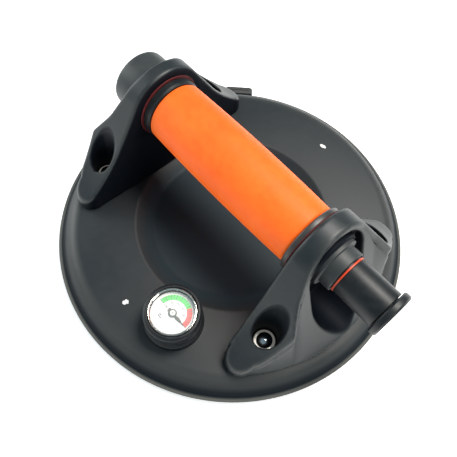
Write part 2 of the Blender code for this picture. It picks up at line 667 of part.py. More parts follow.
def build_bracket(name, side):
    """side is 1 for the plunger's end and -1 for the cap's end, which is the same moulding turned round."""
    shape = bmesh.new()
    sections = []
    for y in bracket_stations():
        sections.append([shape.verts.new((x, y, z)) for x, z in bracket_section(y)])
    for first, second in zip(sections, sections[1:]):
        for index in range(len(first)):
            following = (index + 1) % len(first)
            shape.faces.new((first[index], first[following], second[following], second[index]))
    shape.faces.new(sections[0][::-1])
    shape.faces.new(sections[-1])
    bmesh.ops.recalc_face_normals(shape, faces=shape.faces[:])
    mesh = bpy.data.meshes.new(name)
    shape.to_mesh(mesh)
    shape.free()
    bracket = new_object(name, mesh, "bracket_plastic")
    if side < 0:
        bracket.rotation_euler = (0.0, 0.0, math.pi)
    bore_ends = sorted((0.9 * side * BRACKET_IN, side * BASE_RADIUS))
    boolean(bracket, cylinder_cutter(name + "_bore", HUB_BORE, *bore_ends, (0.0, HANDLE_HEIGHT), along_x=True))
    arch = bpy.data.objects.new(name + "_arch", prism(name + "_arch", arch_outline(), WALL_OUT, PAD_RADIUS,
                                                      lambda u, v, w: (side * w, u, v)))
    boolean(bracket, add_cutter(arch))
    for y in (-SCREW_Y, SCREW_Y):
        at = (side * SCREW_X, y)
        boolean(bracket, cylinder_cutter(name + "_pocket", POCKET_RADIUS, POCKET_FLOOR, POCKET_TOP, at,
                                         top_radius=POCKET_RADIUS + POCKET_DRAFT * (POCKET_TOP - POCKET_FLOOR),
                                         steps=FINE_STEPS))
        boolean(bracket, cylinder_cutter(name + "_screw_hole", SCREW_RADIUS + FIT_GAP, 0.0,
                                         POCKET_FLOOR + 1.0 * MM, at, steps=SMALL_STEPS))
    if side < 0:
        boolean(bracket, cylinder_cutter(name + "_air_hole", TUBE_RADIUS + FIT_GAP, 0.0, ARCH_SPRING,
                                         (TUBE_X, 0.0), steps=SMALL_STEPS))
    return bracket


# ---- bracket fasteners ----

def build_fasteners():
    washer_low = POCKET_FLOOR + FIT_GAP
    washer_high = washer_low + WASHER_THICKNESS
    head_low = washer_high + FIT_GAP
    dome = 2.6 * MM
    names = {(1, -1): "front_right", (1, 1): "rear_right", (-1, -1): "front_left", (-1, 1): "rear_left"}
    for (side_x, side_y), corner in names.items():
        at = (side_x * SCREW_X, side_y * SCREW_Y, 0.0)
        head = []
        for angle in (90, 64, 40, 18, 0):
            turn = math.radians(angle)
            head.append((SCREW_HEAD_RADIUS * math.cos(turn), head_low + dome * math.sin(turn)))
        head[0] = (0.0, head_low + dome)
        head += [(SCREW_RADIUS, head_low), (SCREW_RADIUS, PLATE_BOTTOM), (0.0, PLATE_BOTTOM)]
        turned("screw_" + corner, head, "steel", SMALL_STEPS, at=at)
        ring("washer_" + corner, SCREW_RADIUS + FIT_GAP, WASHER_RADIUS, washer_low, washer_high, "steel",
             SMALL_STEPS, at=at)
        inner = SCREW_RADIUS + FIT_GAP
        ring("insert_" + corner, inner, inner + INSERT_WALL, PLATE_BOTTOM, PLATE_TOP, "brass", SMALL_STEPS, at=at)


# ---- handle, barrel and grip ----

def build_handle():
    ring_on_handle("pump_barrel", BARREL_BORE, BARREL_RADIUS, BARREL_LEFT, BARREL_RIGHT, "aluminium")
    inner = BARREL_RADIUS + FIT_GAP
    rounding = 1.0 * MM
    points = [(inner, GRIP_HALF)]
    count = 8
    for step in range(count + 1):
        along = GRIP_HALF - rounding - 2 * (GRIP_HALF - rounding) * step / count
        radius = GRIP_RADIUS - GRIP_TAPER * (along / GRIP_HALF) ** 2
        if step == 0:
            points.append((radius - rounding, GRIP_HALF))
        points.append((radius, along))
        if step == count:
            points.append((radius - rounding, -GRIP_HALF))
    points.append((inner, -GRIP_HALF))
    on_handle("grip_sleeve", points, "grip_orange", closed=True)
    gasket_radius = COLLAR_RADIUS - 0.1 * MM
    ring_on_handle("grip_collar_right", inner, COLLAR_RADIUS, COLLAR_START, COLLAR_END, "black_gloss", bevel=0.3 * MM)
    ring_on_handle("grip_collar_left", inner, COLLAR_RADIUS, -COLLAR_END, -COLLAR_START, "black_gloss",
                   bevel=0.3 * MM)
    ring_on_handle("hub_gasket_right", inner, gasket_radius, GASKET_START, GASKET_END, "signal_red")
    ring_on_handle("hub_gasket_left", inner, gasket_radius, -GASKET_END, -GASKET_START, "signal_red")
    ring_on_handle("barrel_nut", inner, inner + NUT_WALL, NUT_START, NUT_END, "black_gloss", bevel=0.5 * MM)


def build_nose():
    flange_start = BARREL_RIGHT + FIT_GAP
    flange_end = flange_start + 1.2 * MM
    points = [
        (NOSE_BORE, NOSE_END), (NOSE_RADIUS - 0.3 * MM, NOSE_END), (NOSE_RADIUS, NOSE_END - 0.3 * MM),
        (NOSE_RADIUS, flange_end), (BARREL_RADIUS - 0.4 * MM, flange_end), (BARREL_RADIUS - 0.4 * MM, flange_start),
        (FIXED_IN_BARREL, flange_start), (FIXED_IN_BARREL, NOSE_INNER_END), (NOSE_BORE, NOSE_INNER_END),
    ]
    on_handle("barrel_nose", points, "black_gloss", closed=True)


# ---- plunger, piston and return spring ----

def build_plunger():
    empty = bpy.data.objects.new("plunger_axis", None)
    PARTS.objects.link(empty)
    empty.location = (PLUNGER_END, 0.0, HANDLE_HEIGHT)
    ring_start = NOSE_END + 0.2 * MM
    ring_end = ring_start + 1.4 * MM
    groove = PLUNGER_RADIUS - 0.7 * MM
    bore = PLUNGER_RADIUS - PLUNGER_WALL
    body = [
        (bore, PLUNGER_END), (PLUNGER_RADIUS - 0.4 * MM, PLUNGER_END), (PLUNGER_RADIUS, PLUNGER_END - 0.4 * MM),
        (PLUNGER_RADIUS, ring_end + 0.15 * MM), (groove, ring_end + 0.15 * MM),
        (groove, ring_start - 0.15 * MM), (PLUNGER_RADIUS, ring_start - 0.15 * MM),
        (PLUNGER_RADIUS, PLUNGER_FOOT_END), (SLIDING_RADIUS, PLUNGER_FOOT_END),
        (SLIDING_RADIUS, PLUNGER_FOOT_START), (bore, PLUNGER_FOOT_START),
    ]
    on_handle("plunger_body", body, "black_gloss", closed=True)
    ring_on_handle("warning_ring", groove + 0.2 * MM, PLUNGER_RADIUS + 0.15 * MM, ring_start, ring_end, "signal_red")
    cap_start = PLUNGER_END + FIT_GAP
    cap_end = cap_start + FLANGE_THICKNESS
    spigot = bore - FIT_GAP
    spigot_start = PLUNGER_END - 9.0 * MM
    cap = [
        (0.0, cap_end), (FLANGE_RADIUS - 1.0 * MM, cap_end), (FLANGE_RADIUS - 0.3 * MM, cap_end - 0.3 * MM),
        (FLANGE_RADIUS, cap_end - 1.0 * MM), (FLANGE_RADIUS, cap_start + 0.5 * MM),
        (FLANGE_RADIUS - 0.5 * MM, cap_start), (spigot, cap_start), (spigot, spigot_start), (0.0, spigot_start),
    ]
    on_handle("plunger_cap", cap, "black_gloss")
    screw_in = 3.0 * MM
    rod_neck = ROD_RADIUS - 1.0 * MM
    rod = [
        (0.0, spigot_start - FIT_GAP), (ROD_RADIUS, spigot_start - FIT_GAP), (ROD_RADIUS, PISTON_END + FIT_GAP),
        (rod_neck, PISTON_END + FIT_GAP), (rod_neck, PISTON_END - screw_in), (0.0, PISTON_END - screw_in),
    ]
    on_handle("piston_rod", rod, "steel", SMALL_STEPS)
    seal_low = PISTON_START + 1.6 * MM
    seal_high = PISTON_END - 1.6 * MM
    seal_groove = SLIDING_RADIUS - 2.2 * MM
    hole = rod_neck + FIT_GAP
    hole_end = PISTON_END - screw_in - FIT_GAP
    piston = [
        (0.0, hole_end), (hole, hole_end), (hole, PISTON_END), (SLIDING_RADIUS, PISTON_END),
        (SLIDING_RADIUS, seal_high), (seal_groove, seal_high), (seal_groove, seal_low),
        (SLIDING_RADIUS, seal_low), (SLIDING_RADIUS, PISTON_START), (0.0, PISTON_START),
    ]
    on_handle("piston", piston, "white_plastic")
    ring_on_handle("piston_seal", seal_groove + FIT_GAP, BARREL_BORE - 0.2 * MM, seal_low + FIT_GAP,
                   seal_high - FIT_GAP, "seal_rubber")
    ring_on_handle("rod_guide", ROD_RADIUS + RUNNING_GAP, FIXED_IN_BARREL, GUIDE_START, GUIDE_END,
                   "white_plastic")
    coil("return_spring", SPRING_RADIUS, SPRING_WIRE, GUIDE_END + FIT_GAP, PLUNGER_FOOT_START - FIT_GAP,
         SPRING_TURNS, "steel")
    bpy.context.view_layer.update()
    for name in ("plunger_body", "warning_ring", "plunger_cap", "piston_rod", "piston", "piston_seal"):
        moving = bpy.data.objects[name]
        world = moving.matrix_world.copy()
        moving.parent = empty
        moving.matrix_parent_inverse = empty.matrix_world.inverted()
        moving.matrix_world = world


# ---- end cap, check valve and air line ----

def build_end_cap():
    inner = BARREL_RADIUS + FIT_GAP
    start = -NUT_START
    seat = BARREL_LEFT - FIT_GAP
    chamber = inner - 1.4 * MM
    rounding = 2.0 * MM
    points = [(0.0, CAP_END + CAP_WALL), (chamber, CAP_END + CAP_WALL), (chamber, seat), (inner, seat),
              (inner, start), (CAP_RADIUS, start)]
    points += arc((CAP_RADIUS - rounding, CAP_END + rounding), rounding, 0, -90, 4)
    points.append((0.0, CAP_END))
    cap = on_handle("end_cap", points, "bracket_plastic")
    boolean(cap, cylinder_cutter("cap_air_hole", TUBE_BORE, HANDLE_HEIGHT - 1.3 * CAP_RADIUS, HANDLE_HEIGHT,
                                 (TUBE_X, 0.0), steps=SMALL_STEPS))
    return cap


def build_valve():
    stem = VALVE_HOLE - RUNNING_GAP
    ring_on_handle("valve_seat", VALVE_HOLE, FIXED_IN_BARREL, VALVE_SEAT_START, VALVE_SEAT_END, "brass")
    poppet = [
        (0.0, POPPET_END), (POPPET_RADIUS - 0.3 * MM, POPPET_END), (POPPET_RADIUS, POPPET_END - 0.3 * MM),
        (POPPET_RADIUS, POPPET_START), (stem, POPPET_START), (stem, VALVE_SEAT_START + 1.0 * MM),
        (0.0, VALVE_SEAT_START + 1.0 * MM),
    ]
    on_handle("valve_poppet", poppet, "tab_rubber", SMALL_STEPS)
    coil("valve_spring", VALVE_SPRING_RADIUS, VALVE_SPRING_WIRE, VALVE_SPRING_START,
         VALVE_SPRING_START + VALVE_SPRING_LENGTH, 2, "steel")
    ring_on_handle("valve_cage", VALVE_HOLE, FIXED_IN_BARREL, CAGE_START, CAGE_END, "white_plastic")


def build_air_line():
    cap_under = HANDLE_HEIGHT - CAP_RADIUS
    barb = TUBE_BORE - FIT_GAP
    bore = barb - 0.7 * MM
    flange_top = cap_under - FIT_GAP
    flange_low = flange_top - 2.0 * MM
    at = (TUBE_X, 0.0, 0.0)
    neck_top = cap_under + CAP_WALL
    upper = [
        (bore, neck_top), (barb, neck_top), (barb, flange_top), (TUBE_RADIUS, flange_top),
        (TUBE_RADIUS, flange_low), (barb, flange_low), (barb, flange_low - BARB_LENGTH), (bore, flange_low - BARB_LENGTH),
    ]
    turned("nipple_upper", upper, "brass", SMALL_STEPS, True, at=at)
    shank_top = ARCH_SILL + 1.6 * MM
    lower = [
        (bore, shank_top + BARB_LENGTH), (barb, shank_top + BARB_LENGTH), (barb, shank_top), (TUBE_RADIUS, shank_top),
        (TUBE_RADIUS, PLATE_BOTTOM), (bore, PLATE_BOTTOM),
    ]
    turned("nipple_lower", lower, "brass", SMALL_STEPS, True, at=at)
    ring("air_tube", TUBE_BORE, TUBE_RADIUS, shank_top + FIT_GAP, flange_low - FIT_GAP, "clear_tube",
         SMALL_STEPS, at=at)


# ---- vacuum gauge ----

def build_gauge():
    at = (GAUGE_X, GAUGE_Y, 0.0)
    base_top = GAUGE_FLOOR + GAUGE_BASE_HEIGHT
    stem_hole = STEM_RADIUS + FIT_GAP
    base = [(stem_hole, base_top), (GAUGE_BASE_RADIUS - 1.4 * MM, base_top),
            (GAUGE_BASE_RADIUS - 0.4 * MM, base_top - 0.6 * MM), (GAUGE_BASE_RADIUS, base_top - 1.6 * MM),
            (GAUGE_BASE_RADIUS, GAUGE_FLOOR), (stem_hole, GAUGE_FLOOR)]
    turned("gauge_base", base, "bracket_plastic", closed=True, at=at)
    floor_top = HOUSING_FLOOR + GAUGE_WALL
    inner = GAUGE_RADIUS - GAUGE_WALL
    housing = [(stem_hole, floor_top), (inner, floor_top), (inner, HOUSING_TOP), (GAUGE_RADIUS, HOUSING_TOP),
               (GAUGE_RADIUS, HOUSING_FLOOR), (stem_hole, HOUSING_FLOOR)]
    turned("gauge_housing", housing, "black_gloss", closed=True, at=at)
    stem_top = floor_top
    ring("gauge_stem", 1.0 * MM, STEM_RADIUS, PLATE_BOTTOM, stem_top, "brass", SMALL_STEPS, at=at)
    movement_low = floor_top + FIT_GAP
    movement_high = DIAL_BOTTOM - FIT_GAP
    ring("gauge_movement", ARBOR_RADIUS + FIT_GAP, 0.7 * DIAL_RADIUS, movement_low, movement_high, "brass",
         SMALL_STEPS, at=at)
    ring("gauge_dial", ARBOR_RADIUS + FIT_GAP, DIAL_RADIUS, DIAL_BOTTOM, DIAL_TOP, "white_plastic", at=at)
    build_needle(at, movement_low)
    turned("gauge_lens", [(0.0, LENS_TOP), (LENS_RADIUS, LENS_TOP), (LENS_RADIUS, LENS_BOTTOM), (0.0, LENS_BOTTOM)],
           "clear_lens", at=at)
    bezel_bottom = BEZEL_TOP - BEZEL_HEIGHT
    rim_inner = LENS_RADIUS - 0.9 * MM
    rim_bottom = LENS_TOP + FIT_GAP
    rim_outer = LENS_RADIUS + 0.3 * MM
    rim_top = BEZEL_TOP - 0.1 * MM
    rim = [(rim_inner, rim_bottom + 0.2 * MM), (rim_inner + 0.4 * MM, rim_top), (rim_outer - 0.3 * MM, rim_top),
           (rim_outer, rim_top - 0.3 * MM), (rim_outer, rim_bottom), (rim_inner, rim_bottom)]
    turned("gauge_rim", rim, "chrome", closed=True, at=at)
    lens_side = rim_outer + FIT_GAP
    skirt = GAUGE_RADIUS + FIT_GAP
    outer = skirt + 0.7 * MM
    bezel = [(lens_side, BEZEL_TOP), (outer - 1.1 * MM, BEZEL_TOP), (outer, BEZEL_TOP - 1.1 * MM),
             (outer, bezel_bottom), (skirt, bezel_bottom), (skirt, LENS_BOTTOM), (lens_side, LENS_BOTTOM)]
    turned("gauge_bezel", bezel, "black_gloss", closed=True, at=at)


def build_needle(at, arbor_low):
    """A tapered pointer on its arbor, at rest towards +X, which turns about the gauge's own axis."""
    hub = 1.5 * MM
    tip = 0.18 * MM
    tail = 0.5 * MM
    outline = [(NEEDLE_REACH, -tip), (NEEDLE_REACH, tip)]
    outline += [(hub * math.cos(math.radians(a)), hub * math.sin(math.radians(a))) for a in (25, 60, 90, 120, 155)]
    outline += [(-NEEDLE_TAIL, tail), (-NEEDLE_TAIL, -tail)]
    outline += [(hub * math.cos(math.radians(a)), hub * math.sin(math.radians(a))) for a in (205, 240, 270, 300, 335)]
    low = NEEDLE_BOTTOM
    mesh = prism("gauge_needle", outline, low, NEEDLE_TOP, lambda u, v, w: (u, v, w))
    needle = new_object("gauge_needle", mesh, "needle_grey")
    needle.location = at
    arbor = cylinder_cutter("needle_arbor", ARBOR_RADIUS, arbor_low + FIT_GAP, NEEDLE_TOP - 0.1 * MM, at[:2],
                            steps=12)
    boolean(needle, arbor, "UNION")


build_pad()
build_plate()
build_liner()
build_seal()
build_tab()
build_bracket("pump_bracket", 1)
build_bracket("cap_bracket", -1)
build_fasteners()
build_handle()
build_nose()
build_plunger()
build_end_cap()
build_valve()
build_air_line()
build_gauge()
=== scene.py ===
import math

import bmesh
import bpy
import numpy as np
from mathutils import Matrix, Vector


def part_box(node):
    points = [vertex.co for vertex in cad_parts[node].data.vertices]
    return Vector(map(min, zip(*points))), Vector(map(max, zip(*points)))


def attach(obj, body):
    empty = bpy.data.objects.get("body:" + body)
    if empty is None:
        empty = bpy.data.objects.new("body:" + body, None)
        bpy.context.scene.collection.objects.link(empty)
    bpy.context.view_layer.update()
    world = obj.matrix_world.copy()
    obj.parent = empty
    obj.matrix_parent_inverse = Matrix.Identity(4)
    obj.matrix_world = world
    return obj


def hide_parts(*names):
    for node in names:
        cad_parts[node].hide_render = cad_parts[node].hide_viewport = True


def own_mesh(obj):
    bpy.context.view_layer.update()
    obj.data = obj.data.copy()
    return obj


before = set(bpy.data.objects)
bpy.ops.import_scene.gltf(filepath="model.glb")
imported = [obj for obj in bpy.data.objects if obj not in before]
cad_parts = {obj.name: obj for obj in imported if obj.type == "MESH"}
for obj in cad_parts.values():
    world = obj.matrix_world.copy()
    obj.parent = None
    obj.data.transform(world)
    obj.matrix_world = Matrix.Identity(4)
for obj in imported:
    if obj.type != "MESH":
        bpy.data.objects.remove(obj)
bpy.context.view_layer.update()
print("frame loaded")

# Shapes below are worked out in millimetres and made in metres.
mm = 0.001
fitGap = 0.3


def boxOf(node):
    low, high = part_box(node)
    return low / mm, high / mm


def middleOf(node):
    low, high = boxOf(node)
    return (low + high) / 2


handleHeight = middleOf("pump_barrel").z


def barOf(node):
    # start, end and radius of a round piece on the handle's axis
    low, high = boxOf(node)
    return low.x, high.x, high.z - handleHeight


def discOf(node):
    # bottom, top and radius of an upright round piece
    low, high = boxOf(node)
    return low.z, high.z, (high.x - low.x) / 2


class Value:
    # one socket of a material, so that masks can be written as sums
    def __init__(self, paint, socket):
        self.paint = paint
        self.socket = socket

    def __add__(self, other):
        return self.paint.maths("ADD", self, other)

    def __sub__(self, other):
        return self.paint.maths("SUBTRACT", self, other)

    def __rsub__(self, other):
        return self.paint.maths("SUBTRACT", other, self)

    def __mul__(self, other):
        return self.paint.maths("MULTIPLY", self, other)

    def __truediv__(self, other):
        return self.paint.maths("DIVIDE", self, other)

    def __pow__(self, other):
        return self.paint.maths("POWER", self, other)

    __radd__ = __add__
    __rmul__ = __mul__


class Paint:
    # a material with one Principled shader; fixed values go straight on its sockets
    def __init__(self, name, **fixed):
        self.material = bpy.data.materials.new(name)
        self.material.use_nodes = True
        self.tree = self.material.node_tree
        self.shader = self.tree.nodes["Principled BSDF"]
        for socketName, value in fixed.items():
            self.feed(self.shader.inputs[socketName.replace("_", " ")], value)

    def feed(self, socket, value):
        if isinstance(value, Value):
            self.tree.links.new(value.socket, socket)
        elif isinstance(value, tuple) and len(value) == 3 and len(socket.default_value) == 4:
            socket.default_value = (*value, 1.0)
        else:
            socket.default_value = value

    def node(self, kind, settings, inputs, output=0):
        made = self.tree.nodes.new(kind)
        for name, value in settings.items():
            setattr(made, name, value)
        for name, value in inputs.items():
            self.feed(made.inputs[name], value)
        return Value(self, made.outputs[output])

    def maths(self, operation, first, second):
        return self.node("ShaderNodeMath", {"operation": operation}, {0: first, 1: second})

    def place(self):
        return self.node("ShaderNodeTexCoord", {}, {}, "Object")

    def noise(self, scale, detail=3.0, where=None):
        inputs = {"Vector": where or self.place(), "Scale": scale, "Detail": detail}
        return self.node("ShaderNodeTexNoise", {}, inputs, "Fac")

    def cells(self, scale):
        return self.node("ShaderNodeTexVoronoi", {}, {"Vector": self.place(), "Scale": scale}, "Distance")

    def ramp(self, value, low, high):
        inputs = {"Value": value, "From Min": low, "From Max": high}
        return self.node("ShaderNodeMapRange", {"clamp": True}, inputs)

    def blend(self, mask, first, second):
        # "A" and "B" of a colour mix are its sockets 6 and 7
        return self.node("ShaderNodeMix", {"data_type": "RGBA"}, {0: mask, 6: first, 7: second}, 2)

    def stretched(self, factors):
        return self.node("ShaderNodeVectorMath", {"operation": "MULTIPLY"}, {0: self.place(), 1: factors})

    def worn(self):
        # 0 on flats, 1 on outer edges
        bend = self.node("ShaderNodeNewGeometry", {}, {}, "Pointiness")
        return self.ramp(bend, 0.505, 0.56)

    def paintedCreaseShade(self):
        # painted shade: 1 in grooves and inner corners, where the colour is darkened as shade
        bend = self.node("ShaderNodeNewGeometry", {}, {}, "Pointiness")
        return 1 - self.ramp(bend, 0.44, 0.49)

    def surface(self, colour, roughness, height=None, depth=1.0, distance=0.1):
        self.feed(self.shader.inputs["Base Color"], colour)
        self.feed(self.shader.inputs["Roughness"], roughness)
        if height is not None:
            settings = {"Strength": depth, "Distance": distance * mm, "Height": height}
            self.feed(self.shader.inputs["Normal"], self.node("ShaderNodeBump", {}, settings))
        return self.material


plasticLooks = {
    # deep and pale are the two ends of the colour's slow drift; grain is in bumps a metre
    "bracketPlastic": {"deep": (0.0105, 0.0155, 0.0190), "pale": (0.0205, 0.0250, 0.0262),
                       "edge": (0.066, 0.068, 0.065),
                       # the two dark colours painted in as shade on the bracket's inner walls, in its arch
                       # and in its pockets
                       "paintedShadeDeep": (0.0020, 0.0036, 0.0070), "paintedShadePale": (0.0040, 0.0066, 0.0110),
                       "rough": 0.43, "spread": 0.14, "grain": 1900, "depth": 0.16, "specular": 0.5},
    "padRubber": {"deep": (0.0075, 0.0120, 0.0155), "pale": (0.0140, 0.0185, 0.0205),
                  "edge": (0.045, 0.048, 0.048),
                  "rough": 0.47, "spread": 0.12, "grain": 2300, "depth": 0.20, "specular": 0.5},
    "capPlastic": {"deep": (0.026, 0.031, 0.033), "pale": (0.036, 0.041, 0.042),
                   "edge": (0.060, 0.060, 0.058),
                   "rough": 0.48, "spread": 0.10, "grain": 2100, "depth": 0.18, "specular": 0.5},
    # a lighter copy of the black plastic for the right collar: painted light
    "collarPaintedLight": {"deep": (0.034, 0.033, 0.031), "pale": (0.050, 0.047, 0.044),
                      "edge": (0.075, 0.073, 0.070),
                      "rough": 0.38, "spread": 0.10, "grain": 2000, "depth": 0.12, "specular": 0.6},
    "glossBlack": {"deep": (0.0060, 0.0085, 0.0110), "pale": (0.0120, 0.0140, 0.0155),
                   "edge": (0.05, 0.05, 0.05),
                   "rough": 0.40, "spread": 0.12, "grain": 1500, "depth": 0.06, "specular": 0.36},
    "tabRubber": {"deep": (0.018, 0.019, 0.019), "pale": (0.030, 0.031, 0.030), "edge": (0.080, 0.080, 0.075),
                  "rough": 0.46, "spread": 0.12, "grain": 2600, "depth": 0.20, "specular": 0.5},
    "sealRubber": {"deep": (0.020, 0.020, 0.020), "pale": (0.075, 0.073, 0.068), "edge": (0.12, 0.12, 0.11),
                   "rough": 0.85, "spread": 0.10, "grain": 1300, "depth": 0.9, "specular": 0.3},
    "linerRubber": {"deep": (0.016, 0.016, 0.017), "pale": (0.026, 0.026, 0.027), "edge": (0.04, 0.04, 0.04),
                    "rough": 0.62, "spread": 0.10, "grain": 1700, "depth": 0.35, "specular": 0.4},
    "gripOrange": {"deep": (0.86, 0.105, 0.008), "pale": (0.98, 0.155, 0.015), "edge": (1.0, 0.22, 0.04),
                   "rough": 0.52, "spread": 0.10, "grain": 2400, "depth": 0.14, "specular": 0.28,
                   # the grip's painted glow lifts its shaded side
                   "paintedGlow": 0.24},
    "signalRed": {"deep": (0.62, 0.045, 0.014), "pale": (0.78, 0.075, 0.022), "edge": (0.85, 0.14, 0.06),
                  "rough": 0.40, "spread": 0.10, "grain": 1900, "depth": 0.08, "specular": 0.5},
    "gasketRed": {"deep": (0.060, 0.006, 0.010), "pale": (0.110, 0.012, 0.014), "edge": (0.22, 0.03, 0.02),
                  "rough": 0.55, "spread": 0.10, "grain": 1900, "depth": 0.15, "specular": 0.4},
    "whitePlastic": {"deep": (0.78, 0.79, 0.77), "pale": (0.84, 0.845, 0.83), "edge": (0.88, 0.88, 0.87),
                     "rough": 0.42, "spread": 0.10, "grain": 2000, "depth": 0.08, "specular": 0.4},
    "dialWhite": {"deep": (0.88, 0.89, 0.885), "pale": (0.92, 0.925, 0.92), "edge": (0.94, 0.94, 0.94),
                  "rough": 0.60, "spread": 0.08, "grain": 2600, "depth": 0.04, "specular": 0.3},
    "dialGreen": {"deep": (0.135, 0.70, 0.175), "pale": (0.19, 0.79, 0.235), "edge": (0.22, 0.82, 0.28),
                  "rough": 0.55, "spread": 0.08, "grain": 2600, "depth": 0.04, "specular": 0.3},
    "dialRed": {"deep": (0.86, 0.14, 0.135), "pale": (0.93, 0.21, 0.195), "edge": (0.95, 0.28, 0.26),
                "rough": 0.55, "spread": 0.08, "grain": 2600, "depth": 0.04, "specular": 0.3},
    "dialInk": {"deep": (0.16, 0.165, 0.18), "pale": (0.24, 0.245, 0.26), "edge": (0.28, 0.28, 0.30),
                "rough": 0.60, "spread": 0.08, "grain": 2600, "depth": 0.04, "specular": 0.3},
    "needleGrey": {"deep": (0.115, 0.125, 0.115), "pale": (0.17, 0.18, 0.165), "edge": (0.30, 0.30, 0.28),
                   "rough": 0.38, "spread": 0.12, "grain": 2300, "depth": 0.08, "specular": 0.5},
    "hoseClear": {"deep": (0.42, 0.44, 0.44), "pale": (0.55, 0.57, 0.56), "edge": (0.65, 0.66, 0.65),
                  "rough": 0.22, "spread": 0.10, "grain": 900, "depth": 0.05, "specular": 0.5},
    "filterFelt": {"deep": (0.40, 0.38, 0.32), "pale": (0.62, 0.60, 0.53), "edge": (0.66, 0.64, 0.56),
                   "rough": 0.95, "spread": 0.05, "grain": 2200, "depth": 0.9, "specular": 0.2},
}

metalLooks = {
    # lines is how fine the turning marks are
    "steel": {"deep": (0.46, 0.46, 0.47), "pale": (0.66, 0.66, 0.67),
              "rough": 0.22, "spread": 0.16, "lines": 1400},
    "polishedSteel": {"deep": (0.55, 0.57, 0.60), "pale": (0.74, 0.76, 0.79),
                      "rough": 0.10, "spread": 0.08, "lines": 900},
    "zincWasher": {"deep": (0.66, 0.62, 0.55), "pale": (0.86, 0.82, 0.75),
                   # the washers' painted glow lights them inside their shaded pockets
                   "rough": 0.30, "spread": 0.16, "lines": 1500, "paintedGlow": 0.14},
    "chrome": {"deep": (0.72, 0.70, 0.64), "pale": (0.90, 0.89, 0.85),
               "rough": 0.12, "spread": 0.10, "lines": 800},
    "aluminium": {"deep": (0.62, 0.63, 0.65), "pale": (0.78, 0.79, 0.80),
                  "rough": 0.34, "spread": 0.14, "lines": 1200},
    "brass": {"deep": (0.56, 0.40, 0.15), "pale": (0.75, 0.56, 0.26),
              "rough": 0.30, "spread": 0.16, "lines": 1100},
    "springSteel": {"deep": (0.36, 0.36, 0.37), "pale": (0.58, 0.58, 0.58),
                    "rough": 0.28, "spread": 0.14, "lines": 1600},
}


def dullWithPaintedLight(paint, mask, colour, roughness):
    # where the mask is 1 the surface hardly shines and takes the given colour, which is painted light and
    # shade
    dull = paint.tree.nodes.new("ShaderNodeBsdfPrincipled")
    dull.inputs["Specular IOR Level"].default_value = 0.12
    paint.feed(dull.inputs["Base Color"], colour)
    paint.feed(dull.inputs["Roughness"], roughness)
    mixed = paint.node("ShaderNodeMixShader", {}, {"Fac": mask})
    paint.tree.links.new(paint.shader.outputs[0], mixed.socket.node.inputs[1])
    paint.tree.links.new(dull.outputs[0], mixed.socket.node.inputs[2])
    paint.tree.links.new(mixed.socket, paint.tree.nodes["Material Output"].inputs["Surface"])


def addPaintedGlow(paint, look):
    # painted light: an emission that lifts the shaded side of a strong or bright surface, though it is no
    # lamp
    if "paintedGlow" in look:
        paint.feed(paint.shader.inputs["Emission Color"], look["pale"])
        paint.feed(paint.shader.inputs["Emission Strength"], look["paintedGlow"])


def plasticFinish(name, look, paintedShadeOf=None):
    paint = Paint(name, Specular_IOR_Level=look["specular"], IOR=1.48)
    addPaintedGlow(paint, look)
    drift = paint.noise(34, 4.0)
    mottle = paint.noise(260, 3.0)
    grain = paint.noise(look["grain"], 2.0)
    pits = paint.cells(look["grain"] * 0.8)
    colour = paint.blend(paint.ramp(drift * 0.7 + mottle * 0.3, 0.36, 0.64), look["deep"], look["pale"])
    edges = paint.worn() * paint.ramp(mottle, 0.30, 0.62) * 0.55
    colour = paint.blend(edges, colour, look["edge"])
    # painted shade: grooves and inner corners are darkened towards a deeper copy of the colour
    colour = paint.blend(paint.paintedCreaseShade() * 0.8, colour, tuple(0.35 * part for part in look["deep"]))
    roughness = look["rough"] + (drift - 0.5) * look["spread"] + (mottle - 0.5) * (look["spread"] * 0.6)
    # painted shade: where the mask is 1 a darker, duller copy of the colour is painted in
    if paintedShadeOf:
        shade = paint.blend(mottle, look["paintedShadeDeep"], look["paintedShadePale"])
        dullWithPaintedLight(paint, paintedShadeOf(paint), shade, roughness + 0.2)
    return paint.surface(colour, roughness, grain + pits * 0.5, look["depth"], 0.06)


def metalFinish(name, look):
    paint = Paint(name, Metallic=1.0)
    addPaintedGlow(paint, look)
    stretch = paint.stretched((1.0, 1.0, 14.0))
    lines = paint.noise(look["lines"], 3.0, stretch)
    cloud = paint.noise(190, 3.0)
    colour = paint.blend(paint.ramp(cloud * 0.6 + lines * 0.4, 0.34, 0.66), look["deep"], look["pale"])
    roughness = look["rough"] + (lines - 0.5) * look["spread"] + (cloud - 0.5) * (look["spread"] * 0.5)
    return paint.surface(colour, roughness, lines, 0.10, 0.03)


padBands = {
    # metres from the middle between which each band of painted light and shade sets in
    "dish": (0.049, 0.058),
    "shoulder": (0.0885, 0.0930),
    "shoulderEnd": (0.0940, 0.0970),
    "wall": (0.0945, 0.0985),
    "lip": (0.1002, 0.1012),
}


